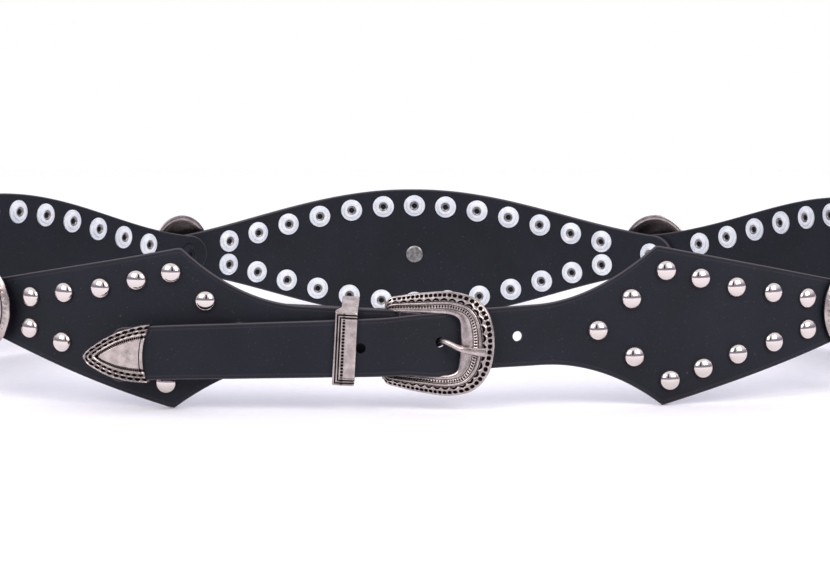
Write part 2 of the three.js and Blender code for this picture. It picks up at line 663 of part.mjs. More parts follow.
for (const [sideName, side, shiftOf] of [['left', -1, sinkFront], ['right', 1, level]]) {
  frontStuds.forEach(({ along, off }, i) => {
    const u = along * peakReach;
    for (const edge of off === 0 ? [1] : [1, -1]) {
      const row = off === 0 ? 'middle' : { 1: 'upper', [-1]: 'lower' }[edge];
      const leathers = off === 0 && side < 0 ? 2 : 1;
      const solid = stud(side * (endReach + u), edge * off * peakHalf, shiftOf, leathers);
      addPiece(`stud_${sideName}_${row}_${i + 1}`, solid, nickel);
    }
  });
}

// The loop is moved so that the origin is under the middle of its bounding box.
const box = new THREE.Box3().setFromObject(group);
const middle = box.getCenter(new THREE.Vector3());
group.position.set(-middle.x, -middle.y, -box.min.z);
group.updateMatrixWorld(true);

export default group;
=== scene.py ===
"""Looks of a studded leather belt that stands buckled in a loop.

Lengths are in millimetres until a mesh is made. Stations run along the belt from the middle of the
back, minus on the buckle side; v is up across the belt and w is outward from its middle line.
"""

import math

import bmesh
import bpy
import numpy as np
from mathutils import Matrix, Vector


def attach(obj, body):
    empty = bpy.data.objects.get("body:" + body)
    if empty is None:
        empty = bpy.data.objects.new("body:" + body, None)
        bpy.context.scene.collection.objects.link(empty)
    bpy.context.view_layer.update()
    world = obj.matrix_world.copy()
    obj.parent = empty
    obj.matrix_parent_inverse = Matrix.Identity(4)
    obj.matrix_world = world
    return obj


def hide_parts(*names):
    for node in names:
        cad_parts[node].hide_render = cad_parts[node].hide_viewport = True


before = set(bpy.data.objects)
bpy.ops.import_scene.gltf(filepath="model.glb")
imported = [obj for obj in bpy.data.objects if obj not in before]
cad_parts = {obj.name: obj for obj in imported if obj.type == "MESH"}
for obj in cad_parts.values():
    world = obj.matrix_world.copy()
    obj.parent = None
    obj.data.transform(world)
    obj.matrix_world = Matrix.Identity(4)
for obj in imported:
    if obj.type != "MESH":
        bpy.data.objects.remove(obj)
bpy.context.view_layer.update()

# Sizes of the belt, as in its solids
LEATHER = 2.0
GAP = 0.3
PANEL_HEIGHT = 52.0
EYE_PITCH = 200.0
EYE_END = 15.0
EYE_END_REACH = 9.5
EYE_WAVE = 1.15
FRONT_END = 16.0
PEAK_REACH = 72.5
NECK_REACH = 40.0
STRAP_WIDTH = 19.6
STRAP_END_WIDTH = 17.4
FOLD_WIDTH = 18.4
HEEL_REACH = 140.0
PRONG_REACH = 144.0
STRAP_REACH = 253.9
FOLD_MARGIN = 0.9
HOLE = 3.3
HOLE_PITCH = 25.0
STUD = 6.8
STUD_PITCH = 13.08
STUDS_PER_ROW = 13
ROW_INSET = 6.5
WASHER = 8.5
CONCHO = 30.0
CONCHO_RISE = 4.0
BUCKLE_LENGTH = 34.3
BUCKLE_HEIGHT = 33.2
SLOT_CLEARANCE = 0.7
BUCKLE_DROP = 0.8
FRAME_BACK = 1.0
FRAME_CROWN = 1.4
HEEL_BAR = 2.8
PRONG_THROW = 16.5
PRONG_LENGTH = 31.2
PRONG_WIDTH = 2.0
PRONG_HINGE = 1.0
KEEPER_WIDTH = 7.1
KEEPER_HEIGHT = 23.6
KEEPER_WALL = 1.0
KEEPER_REACH = 13.4
KEEPER_SLOPE = 0.38
TIP_LENGTH = 19.2
TIP_HEIGHT = 18.9
TIP_THICKNESS = 4.8
TIP_HOLLOW = 1.7
CAP_SIDES = 28
TUBE_SIDES = 20
MM = 0.001  # metres in a millimetre
WELD = 2e-6  # metres within which two points are one
SHARP = math.radians(40)  # edges that turn more than this stay crisp
GROUND_SHIFT = np.array([0.81044, -111.41771, -0.13580])

END_REACH = 1.5 * EYE_PITCH
GIRTH = 2 * END_REACH + HEEL_REACH + PRONG_THROW + PRONG_REACH
HEEL = -(END_REACH + HEEL_REACH)
LOOSE_REACH = STRAP_REACH - PRONG_REACH - PRONG_THROW
LAYER = LEATHER + GAP
FOLD_RADIUS = HEEL_BAR / 2 + GAP + LEATHER / 2

# Course of the belt: share of half the girth, heading in degrees, height in half panel heights, lean
COURSE = np.array([
    (-1.00, -180, 0.880, 6), (-0.93, -179, 0.930, 0), (-0.83, -176, 1.002, 0), (-0.667, -143, 1.165, 0),
    (-0.444, -52.5, 1.285, 0), (-0.222, -47, 1.130, 0), (-0.015, 2, 1.000, 0), (0.015, 4, 1.000, 0),
    (0.222, 34.5, 1.123, 0), (0.444, 59, 1.200, 0), (0.667, 142, 1.107, 0), (0.83, 174.5, 1.002, 0),
    (0.93, 170, 0.905, 4), (1.00, 180, 0.880, 6),
])

# Loose strap: share of the way past the heel bar, lift in leather thicknesses, drop in strap widths
STRAP_RUN = np.array([
    (-0.60, 0.0, 0.00), (-0.30, 0.02, 0.01), (-0.24, 0.2, 0.02), (-0.17, 0.85, 0.05), (-0.08, 1.5, 0.085),
    (0.0, 1.9, 0.13), (0.2, 2.35, 0.19), (0.48, 2.95, 0.27), (0.79, 4.2, 0.37), (1.0, 6.2, 0.49),
])

# Studs of a front panel: share of the way to the peak, share of half the panel height
FRONT_STUDS = np.array([
    (0.284, 0.197), (0.465, 0.311), (0.645, 0.420), (0.811, 0.562), (0.964, 0.685), (1.122, 0.362), (1.279, 0.0),
])

# Upper half of the buckle: outside x and y, inside x and y, as shares of its length and half heights
BUCKLE_ROWS = np.array([
    (-0.045, 0.66, -0.03, 1.0), (0.0, 0.82, 0.02, 1.0), (0.12, 0.89, 0.12, 1.0), (0.32, 0.96, 0.33, 1.0),
    (0.60, 1.0, 0.58, 1.0), (0.82, 0.87, 0.655, 0.86), (0.95, 0.55, 0.68, 0.45), (1.0, 0.0, 0.685, 0.0),
])

# Outline of the metal tip: share of its length from the point, half height as a share of its height
TIP_ROWS = np.array([
    (0.0, 0.02), (0.07, 0.10), (0.20, 0.205), (0.40, 0.335), (0.60, 0.42), (0.80, 0.475), (1.0, 0.50),
])


def smoothstep(x, low, high):
    """3t^2 - 2t^3 of the share t of the way from low to high."""
    t = np.clip((x - low) / (high - low), 0, 1)
    return t * t * (3 - 2 * t)


def eased(keys, values, at):
    """Piecewise cubic through the values, with each key's slope taken from its two neighbours."""
    keys, values = np.asarray(keys, float), np.asarray(values, float)
    at = np.clip(at, keys[0], keys[-1])
    i = np.clip(np.searchsorted(keys, at, side="right"), 1, len(keys) - 1)
    t0, t1 = keys[i - 1], keys[i]
    first, last = i == 1, i == len(keys) - 1
    before = np.where(first, t1, keys[np.maximum(i - 2, 0)])
    after = np.where(last, t0, keys[np.minimum(i + 1, len(keys) - 1)])
    v_before = np.where(first, values[i], values[np.maximum(i - 2, 0)])
    v_after = np.where(last, values[i - 1], values[np.minimum(i + 1, len(keys) - 1)])
    half = (t1 - t0) / 2
    wb, wa, p = half / (t0 - before), half / (after - t1), (at - t0) / (t1 - t0)
    return ((-wb * p**3 + 2 * wb * p**2 - wb * p) * v_before
            + ((1 + wb) * p**3 + (-1.5 - 2 * wb) * p**2 + (wb - 0.5) * p + 1) * values[i - 1]
            + ((-1 - wa) * p**3 + (1.5 + wa) * p**2 + 0.5 * p) * values[i]
            + (wa * p**3 - wa * p**2) * v_after)


def curve_through(points, share):
    """Centripetal Catmull-Rom curve through the points, at shares 0 to 1 of its spans."""
    points = np.asarray(points, float)
    spots = np.array([2 * points[0] - points[1], *points, 2 * points[-1] - points[-2]])
    spans = len(points) - 1
    at = np.clip(share, 0, 1) * spans
    i = np.minimum(at.astype(int), spans - 1)
    p = (at - i)[:, None]
    a, b, c, d = (spots[i + k] for k in range(4))
    ab, bc, cd = (np.sqrt(np.linalg.norm(y - x, axis=1))[:, None] for x, y in ((a, b), (b, c), (c, d)))
    slope_b = ((b - a) / ab - (c - a) / (ab + bc) + (c - b) / bc) * bc
    slope_c = ((c - b) / bc - (d - b) / (bc + cd) + (d - c) / cd) * bc
    return (b + slope_b * p + (3 * (c - b) - 2 * slope_b - slope_c) * p**2
            + (2 * (b - c) + slope_b + slope_c) * p**3)


# The course is repeated a few rows past both ends, because the belt goes round
ROUND = np.vstack([COURSE[-3:-1] - [2, 360, 0, 0], COURSE, COURSE[1:3] + [2, 360, 0, 0]])
COURSE_STEPS = 900


def heading_at(s):
    """Heading in plan, straight between the rows of the course."""
    return np.radians(np.interp(s / (GIRTH / 2), ROUND[:, 0], ROUND[:, 1]))


def height_at(s):
    """Height of the belt's middle line, a cubic through the rows of the course."""
    return eased(ROUND[:, 0], ROUND[:, 2], s / (GIRTH / 2)) * PANEL_HEIGHT / 2


def slope_at(s):
    """Angle at which the middle line climbs: the arc sine of its height's change over 2 mm."""
    return np.arcsin((height_at(s + 1) - height_at(s - 1)) / 2)


def plan_of_course():
    """Plan points: the sum of steps along the heading, with the misfit of the loop spread evenly."""
    s = ((np.arange(COURSE_STEPS) + 0.5) / COURSE_STEPS - 0.5) * GIRTH
    step = np.cos(slope_at(s)) * GIRTH / COURSE_STEPS
    steps = np.stack([np.cos(heading_at(s)), -np.sin(heading_at(s))], 1) * step[:, None]
    plan = np.vstack([[0, 0], np.cumsum(steps, 0)])
    return plan - np.linspace(0, 1, COURSE_STEPS + 1)[:, None] * plan[-1]


PLAN = plan_of_course()
PLAN_STATIONS = np.linspace(-GIRTH / 2, GIRTH / 2, COURSE_STEPS + 1)


def axes_at(s):
    """Point of the middle line and the unit vectors along, up and out of the belt at stations s."""
    s = np.asarray(s, float)
    s = s - GIRTH * np.round(s / GIRTH)
    heading, slope = heading_at(s), slope_at(s)
    lean = np.radians(np.interp(s / (GIRTH / 2), ROUND[:, 0], ROUND[:, 3]))
    zero = np.zeros_like(s)
    flat = np.stack([np.cos(heading), -np.sin(heading), zero], -1)
    level = np.stack([np.sin(heading), np.cos(heading), zero], -1)
    rise = np.stack([zero, zero, np.ones_like(s)], -1)
    cos_slope, sin_slope = np.cos(slope)[..., None], np.sin(slope)[..., None]
    cos_lean, sin_lean = np.cos(lean)[..., None], np.sin(lean)[..., None]
    along = flat * cos_slope + rise * sin_slope
    upright = rise * cos_slope - flat * sin_slope
    point = np.stack([np.interp(s, PLAN_STATIONS, PLAN[:, 0]), np.interp(s, PLAN_STATIONS, PLAN[:, 1]),
                      height_at(s)], -1)
    up, out = upright * cos_lean - level * sin_lean, level * cos_lean + upright * sin_lean
    return point + GROUND_SHIFT, along, up, out


def place(s, v, w):
    """Points at station s, v up and w out, all arrays of one shape."""
    point, _, up, out = axes_at(s)
    return point + up * np.asarray(v)[..., None] + out * np.asarray(w)[..., None]


# Meshes
def ring_faces(rows, cols):
    """Quads of a grid whose rows are closed rings of cols points."""
    r, c = np.meshgrid(np.arange(rows - 1), np.arange(cols), indexing="ij")
    a, b = r * cols + c, r * cols + (c + 1) % cols
    return np.stack([a, b, b + cols, a + cols], -1).reshape(-1, 4)


def closed_up(mesh):
    """Welds a mesh's doubles and turns its faces outward."""
    work = bmesh.new()
    work.from_mesh(mesh)
    bmesh.ops.remove_doubles(work, verts=work.verts, dist=WELD)
    bmesh.ops.recalc_face_normals(work, faces=work.faces)
    work.to_mesh(mesh)
    work.free()


def part(body, key, number=0):
    """Part of a piece from a body's points, quads and values of one attribute."""
    points, faces, values = body
    return points, faces, number, {key: values}


def piece(name, parts, materials, replaces=()):
    """One object from parts (points in mm, quads, material number, {attribute: values})."""
    points, quads, numbers = [], [], []
    names = sorted({key for part in parts for key in part[3]})
    values = {key: [] for key in names}
    count = 0
    for spots, faces, number, attributes in parts:
        spots = np.asarray(spots, float).reshape(-1, 3)
        points.append(spots)
        quads.append(np.asarray(faces) + count)
        numbers.append(np.full(len(faces), number))
        for key in names:
            values[key].append(np.broadcast_to(attributes.get(key, 0.0), (len(spots),)))
        count += len(spots)
    points, quads, numbers = np.vstack(points) * MM, np.vstack(quads), np.concatenate(numbers)
    mesh = bpy.data.meshes.new(name)
    mesh.vertices.add(len(points))
    mesh.vertices.foreach_set("co", points.astype(np.float32).ravel())
    mesh.loops.add(4 * len(quads))
    mesh.loops.foreach_set("vertex_index", quads.astype(np.int32).ravel())
    mesh.polygons.add(len(quads))
    mesh.polygons.foreach_set("loop_start", np.arange(0, 4 * len(quads), 4, dtype=np.int32))
    mesh.polygons.foreach_set("material_index", numbers.astype(np.int32))
    for key in names:
        mesh.attributes.new(key, "FLOAT", "POINT").data.foreach_set(
            "value", np.concatenate(values[key]).astype(np.float32))
    mesh.update(calc_edges=True)
    closed_up(mesh)
    mesh.shade_smooth()
    mesh.set_sharp_from_angle(angle=SHARP)
    for material in materials:
        mesh.materials.append(material)
    shown = bpy.data.objects.new(name, mesh)
    bpy.context.scene.collection.objects.link(shown)
    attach(shown, "root")
    if replaces:
        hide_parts(*replaces)
    return shown


def turned(profile, sides):
    """Body turned about the outward axis from rows (radius, height): ring points and quads."""
    profile = np.asarray(profile, float)
    angle = np.linspace(0, 2 * np.pi, sides, endpoint=False)
    radius, height = profile[:, :1], profile[:, 1:]
    points = np.stack([radius * np.cos(angle), height + 0 * angle, radius * np.sin(angle)], -1)
    return points.reshape(-1, 3), ring_faces(len(profile), sides)


def set_on(points, faces, s, v, w, rise):
    """Copies of one body (x along, y out, z up) set square on leather at many places."""
    origin = place(s, v, w)
    _, along, up, out = axes_at(s)
    rise = np.asarray(rise)[:, None]
    scale = 1 / np.sqrt(1 + rise**2)
    run, face = (along + out * rise) * scale, (out - along * rise) * scale
    spots = (origin[:, None] + points[None, :, :1] * run[:, None] + points[None, :, 1:2] * face[:, None]
             + points[None, :, 2:] * up[:, None])
    shift = (np.arange(len(origin)) * len(points))[:, None, None]
    return spots.reshape(-1, 3), (faces[None] + shift).reshape(-1, 4)


def cut_out(shown, points, faces):
    """Takes a closed body away from a piece, for good."""
    mesh = bpy.data.meshes.new("cutter")
    mesh.from_pydata((np.asarray(points) * MM).tolist(), [], np.asarray(faces).tolist())
    closed_up(mesh)
    cutter = bpy.data.objects.new("cutter", mesh)
    bpy.context.scene.collection.objects.link(cutter)
    modifier = shown.modifiers.new("cut", "BOOLEAN")
    modifier.operation, modifier.object, modifier.solver = "DIFFERENCE", cutter, "EXACT"
    bpy.context.view_layer.update()
    cut = shown.evaluated_get(bpy.context.evaluated_depsgraph_get())
    shown.data = bpy.data.meshes.new_from_object(cut)
    shown.modifiers.clear()
    bpy.data.objects.remove(cutter)
    shown.data.set_sharp_from_angle(angle=SHARP)


# Leather panels
EDGE_COLUMNS = [  # inset from the cut edge, height above the middle in half thicknesses, share of the painted edge highlight
    (3.2, 1.0, 0), (1.75, 1.0, 0), (1.5, 0.98, 0.05), (1.3, 0.93, 0.12), (1.1, 0.98, 0.05), (0.8, 1.0, 0),
    (0.42, 0.985, 0.1), (0.2, 0.9, 0.7), (0.05, 0.7, 0.6), (0.0, 0.4, 0.2), (0.0, 0.0, 0.15), (0.0, -0.4, 0.2),
    (0.05, -0.7, 0.6), (0.2, -0.9, 0.7), (0.42, -0.985, 0.1), (0.8, -1.0, 0), (1.75, -1.0, 0), (3.2, -1.0, 0),
]


def leather_body(s, w, half, reach, middle=0.0, turn=False):
    """Leather along a path (s, w) with half heights and, at its round ends, a reach along the path.

    A point is the path's point plus a share of (reach along the path, half height up), plus the
    profile's height square to the path. The share is 1 less the inset over the row's length.
    middle is the height of the path's own points.
    """
    s, w, half, reach = (np.asarray(x, float) for x in (s, w, half, reach))
    run = np.stack([np.gradient(s), np.gradient(w)], -1)
    for i in range(1, len(s)):  # rows of a round end share one path point, so they share its direction
        if np.allclose(run[i], 0):
            run[i] = run[i - 1]
    for i in range(len(s) - 2, -1, -1):
        if np.allclose(run[i], 0):
            run[i] = run[i + 1]
    run /= np.linalg.norm(run, axis=1)[:, None]
    square = np.stack([run[:, 1], -run[:, 0]], -1) if turn else np.stack([-run[:, 1], run[:, 0]], -1)
    length = np.maximum(np.hypot(half, reach), 1e-6)[:, None]
    inner = [(0.0, 1), (0.3, 1), (0.6, 1)]
    inset = np.array([c[0] for c in EDGE_COLUMNS])
    share = np.concatenate([np.tile([c[0] for c in inner], (len(s), 1)),
                            np.clip(1 - inset / length, 0, 1),
                            np.tile([0.6, 0.3, 0.0], (len(s), 1))], 1)
    high = np.array([1, 1, 1, *[c[1] for c in EDGE_COLUMNS], -1, -1, -1]) * LEATHER / 2
    # each column's share of the paler grey painted along the cut edges as a highlight
    worn = np.array([0, 0, 0, *[c[2] for c in EDGE_COLUMNS], 0, 0, 0])
    # the upper half of the ring, then the lower half back again without the shared middle columns
    share = np.concatenate([share, share[:, -2:0:-1]], 1)
    high = np.concatenate([high, high[-2:0:-1]])
    worn = np.concatenate([worn, worn[-2:0:-1]])
    side = np.concatenate([np.ones(len(EDGE_COLUMNS) + 6), -np.ones(len(EDGE_COLUMNS) + 4)])
    station = s[:, None] + share * reach[:, None] * run[:, :1] + high * square[:, :1]
    out = w[:, None] + share * reach[:, None] * run[:, 1:] + high * square[:, 1:]
    up = np.broadcast_to(middle, s.shape)[:, None] + side * share * half[:, None]
    rows, cols = station.shape
    return place(station, up, out), ring_faces(rows, cols), np.tile(worn, (rows, 1)).ravel()


def rows_of(start, end, start_radius, end_radius, half_of, shift_of, step=1.6, end_reach=None):
    """Path rows of a panel from start to end (a round cap at an end with a radius, else straight)."""
    start_reach, end_reach = end_reach or start_radius, end_reach or end_radius
    angles = np.radians(np.arange(0, 90, 7.5))
    count = max(int(round(abs(end - start) / step)), 2)
    middle = np.linspace(start, end, count + 1)
    s = np.concatenate([np.full(len(angles), start) if start_radius else [], middle,
                        np.full(len(angles), end) if end_radius else []])
    half = np.concatenate([start_radius * np.sin(angles) if start_radius else [], half_of(middle),
                           end_radius * np.sin(angles[::-1]) if end_radius else []])
    reach = np.concatenate([-start_reach * np.cos(angles) if start_radius else [], 0 * middle,
                            end_reach * np.cos(angles[::-1]) if end_radius else []])
    return s, shift_of(s), half, reach


def eye_half(u):
    """Half height of a back panel: a cosine wave from its middle to its joints."""
    wave = (1 - np.cos(np.pi * np.abs(u) / (EYE_PITCH / 2) / EYE_WAVE)) / (1 - np.cos(np.pi / EYE_WAVE))
    return PANEL_HEIGHT / 2 - (PANEL_HEIGHT - EYE_END) / 2 * wave


def eye_shift(middle):
    """Outward shift of a back panel: one end lies over its neighbour and the other under it."""
    return lambda s: -LAYER * smoothstep((s - middle) / (EYE_PITCH / 2), -0.6, 0.6)


def strap_half(u):
    """Half width of the strap: an even taper from the neck to the metal tip."""
    start = PEAK_REACH + NECK_REACH
    share = np.clip((u - start) / (STRAP_REACH - TIP_LENGTH - start), 0, 1)
    return (STRAP_WIDTH + (STRAP_END_WIDTH - STRAP_WIDTH) * share) / 2


def front_half(u, neck_half):
    """Half height of a front panel: a straight taper to the peak, then a parabola down to the neck."""
    rest = np.maximum(1 - (u - PEAK_REACH) / NECK_REACH, 0)
    taper = FRONT_END / 2 + (PANEL_HEIGHT - FRONT_END) / 2 * u / PEAK_REACH
    return np.where(u < PEAK_REACH, taper, neck_half + (PANEL_HEIGHT / 2 - neck_half) * rest**2)


def buckle_shift(s):
    """Outward shift of the buckle side: it slips under the left back panel at their joint."""
    return -LAYER * smoothstep((s + END_REACH) / PEAK_REACH, -0.85, -0.12)


def past_heel(u):
    """Share of the loose strap's way that lies between the heel bar and u."""
    return (u - PRONG_REACH - PRONG_THROW) / LOOSE_REACH


def lift(u):
    """Outward rise of the strap over the leather below it."""
    return eased(STRAP_RUN[:, 0], STRAP_RUN[:, 1], past_heel(u)) * LEATHER


def drop(u):
    """How far the strap hangs below the belt's middle line."""
    return eased(STRAP_RUN[:, 0], STRAP_RUN[:, 2], past_heel(u)) * STRAP_WIDTH


def strap_body():
    """The strap: front panel and strap in one, with the drop added to its heights."""
    start, end = END_REACH, END_REACH + STRAP_REACH - 0.2 * TIP_LENGTH
    s, w, half, reach = rows_of(start, end, FRONT_END / 2, 0,
                                lambda s: front_half(s - END_REACH, strap_half(s - END_REACH)),
                                lambda s: lift(s - END_REACH), 1.4)
    u = s - END_REACH
    narrow = 1 - 0.8 * smoothstep(u, STRAP_REACH - 0.55 * TIP_LENGTH, STRAP_REACH - 0.2 * TIP_LENGTH)
    press = 0.8 * np.exp(-((u - PRONG_REACH) / 9) ** 2)  # flattened wider in the buckle
    return leather_body(s, w, half * narrow + press, reach, -drop(u) - press)


def buckle_body():
    """The buckle side: round end, front panel, strap, half turn round the heel bar, and back."""
    s, w, half, reach = rows_of(-END_REACH, HEEL, FRONT_END / 2, 0,
                                lambda s: front_half(-s - END_REACH, FOLD_WIDTH / 2), buckle_shift, 1.4)
    angle = np.radians(np.arange(12, 180, 12))
    fold_end = FRONT_STUDS[-2, 0] * PEAK_REACH + WASHER / 2 + FOLD_MARGIN
    back = np.linspace(HEEL_REACH, fold_end, 34)
    near = smoothstep(HEEL_REACH - back, 0, 0.18 * (HEEL_REACH - fold_end))
    corner = np.radians(np.linspace(0, 90, 6))
    s = np.concatenate([s, HEEL - FOLD_RADIUS * np.sin(angle), -END_REACH - back,
                        np.full(len(corner), -END_REACH - fold_end)])
    w = np.concatenate([w, FOLD_RADIUS * (np.cos(angle) - 1),
                        -2 * FOLD_RADIUS + (2 * FOLD_RADIUS - LAYER) * near, np.full(len(corner), -LAYER)])
    last = FOLD_WIDTH / 2 * np.cos(corner)
    half = np.concatenate([half, np.full(len(angle) + len(back), FOLD_WIDTH / 2), last])
    reach = np.concatenate([reach, np.zeros(len(angle) + len(back)), 1.2 * np.sin(corner)])
    return leather_body(s, w, half, reach, turn=True)


def eye_body(middle):
    """A back panel: rows of half heights by the cosine wave, with an elliptic end at both joints."""
    return leather_body(*rows_of(middle - EYE_PITCH / 2, middle + EYE_PITCH / 2, EYE_END / 2, EYE_END / 2,
                                 lambda s: eye_half(s - middle), eye_shift(middle), end_reach=EYE_END_REACH))


# Rivets: domed cap outside, nylon washer and tube end inside
def cap_body():
    """Domed cap: a short straight foot, then a quarter ellipse 2 mm high, turned about its axis."""
    angle = np.radians(np.arange(84, -1, -12))
    face, radius = LEATHER / 2, STUD / 2
    rows = [(0, face - 0.3), (0.93 * radius, face - 0.3), (0.985 * radius, face + 0.06),
            (radius, face + 0.22)]
    dome = np.stack([radius * np.sin(angle), face + 0.3 + 2.0 * np.cos(angle)], 1)
    return turned([*rows, *dome], CAP_SIDES)


def washer_bodies():
    """Stepped nylon ring and the rolled tube end in its hole, both turned from (radius, height) rows."""
    face, radius = -LEATHER / 2, WASHER / 2
    ring = np.array([
        (1.8, 0.25), (0.94 * radius, 0.25), (radius, 0.0), (radius, -0.32), (0.97 * radius, -0.5),
        (0.8 * radius, -0.66), (0.75 * radius, -0.74), (0.725 * radius, -1.02), (0.68 * radius, -1.2),
        (0.6 * radius, -1.28), (0.46 * radius, -1.26), (1.86, -1.16), (1.8, -1.0), (1.8, 0.25)])
    tube = np.array([(1.76, 0.25), (1.76, -0.92), (1.6, -1.06), (1.25, -0.98), (1.0, -0.7), (0.92, 0.1),
                     (0.0, 0.15), (0.0, 0.25), (1.76, 0.25)])
    return turned(ring + [0, face], CAP_SIDES), turned(tube + [0, face], TUBE_SIDES)


def shift_rise(shift_of, s):
    """Slope of an outward shift along the belt, from its change over 2 mm."""
    return (shift_of(s + 1) - shift_of(s - 1)) / 2


def rivets(name, s, v, shift_of, deeper=0.0):
    """Caps outside and washers inside at stations s and heights v; deeper moves the washers inward."""
    w, rise = shift_of(s), shift_rise(shift_of, s)
    ring, tube = washer_bodies()
    piece(f"{name}_caps", [(*set_on(*cap_body(), s, v, w, rise), 0, {})], [NICKEL])
    piece(f"{name}_washers", [(*set_on(*ring, s, v, w - deeper, rise), 0, {}),
                              (*set_on(*tube, s, v, w - deeper, rise), 1, {})], [NYLON, TUBE_STEEL])


def concho_body():
    """Turned dish with an ornamented face: rim, rope, petals, beads and boss are waves of the angle."""
    face = LEATHER / 2 + GAP
    radius, top = CONCHO / 2, LEATHER / 2 + GAP + CONCHO_RISE
    back = np.array([(0, face - 0.9), (2, face - 0.9), (2, top - 1.35), (3.5, top - 1.4),
                     (0.5 * radius, top - 1.45), (0.72 * radius, face + 1.5), (0.85 * radius, face + 0.55),
                     (0.88 * radius, face + 0.1), (0.9 * radius, face), (0.98 * radius, face),
                     (radius, face + 0.15)])
    share = np.linspace(1, 0, 64)
    shape = eased([0, 0.25, 0.5, 0.8, 0.97, 1],
                  [top - 0.25, top - 0.35, top - 0.9, face + 1.9, face + 0.85, face + 0.5], share)
    sides = 168
    angle = np.linspace(0, 2 * np.pi, sides, endpoint=False)[None]
    r = share[:, None]
    rope = np.exp(-((r - 0.91) / 0.035) ** 2) * np.abs(np.sin(24 * angle + 9 * (r - 0.91) / 0.05))
    groove = np.exp(-((r - 0.84) / 0.014) ** 2) + np.exp(-((r - 0.405) / 0.014) ** 2)
    petals = smoothstep(r, 0.42, 0.5) * (1 - smoothstep(r, 0.74, 0.82)) * np.abs(np.cos(8 * angle))
    beads = np.exp(-((r - 0.35) / 0.03) ** 2) * np.maximum(np.cos(20 * angle), 0)
    boss = 1 - smoothstep(r, 0.2, 0.28)
    relief = 0.28 * rope - 0.3 * groove + 0.35 * petals + 0.22 * beads + 0.3 * boss * np.cos(r * 5)
    relief = np.minimum(relief, 0.4) * smoothstep(1 - r, 0.0, 0.02)
    between_petals = (smoothstep(r, 0.42, 0.5) * (1 - smoothstep(r, 0.76, 0.84))
                      * (1 - np.abs(np.cos(8 * angle))) ** 2)
    beside_rope = (1 - np.clip(rope * 1.4, 0, 1)) * np.exp(-((r - 0.91) / 0.04) ** 2)
    between_beads = np.exp(-((r - 0.35) / 0.04) ** 2) * (np.cos(20 * angle) < 0)
    dark = np.clip(0.9 * groove + 0.55 * beside_rope + 0.5 * between_petals + 0.5 * between_beads, 0, 1)
    radii = np.concatenate([back[:, 0], share * radius])[:, None]
    heights = np.concatenate([np.repeat(back[:, 1:], sides, 1), shape[:, None] + relief])
    hollow = np.repeat(0.24 * np.exp(-((back[:, :1] - 0.87 * radius) / 1.0) ** 2), sides, 1)
    points = np.stack([radii * np.cos(angle), heights, radii * np.sin(angle)], -1).reshape(-1, 3)
    return points, ring_faces(len(radii), sides), np.concatenate([hollow, dark]).ravel()


# Buckle set
FRAME_TILT = math.atan((LEATHER / 2 + 3 * GAP + FRAME_BACK) / (BUCKLE_ROWS[-1, 2] * BUCKLE_LENGTH))
SLOT_HALF = float(strap_half(PRONG_REACH)) + SLOT_CLEARANCE
OPENING_HALF = 9.55  # the frame's inner edge meets the strap's edges
OPENING_DROP = 0.35


def buckle_place(x, y, z):
    """Buckle axes: x towards the bow, y up, z out of the loop, leaning out by the frame's tilt."""
    _, along, up, out = axes_at(HEEL)
    bow = -along * math.cos(FRAME_TILT) + out * math.sin(FRAME_TILT)
    face = out * math.cos(FRAME_TILT) + along * math.sin(FRAME_TILT)
    start = place(HEEL, -BUCKLE_DROP, 0.0)
    return start + x[..., None] * bow + y[..., None] * up + z[..., None] * face


def ridge(x, low, high):
    """Half wave of a sine between low and high, nothing outside."""
    return np.sin(np.pi * np.clip((x - low) / (high - low), 0, 1))


def pits(x, length, middle, width, pitch, fill):
    """Lens-shaped pits in a row: 1 less the squares of the distances over the half axes."""
    phase = (length / pitch) % 1 - 0.5
    return np.clip(3 * (1 - (phase / (fill / 2)) ** 2 - ((x - middle) / width) ** 2), 0, 1)


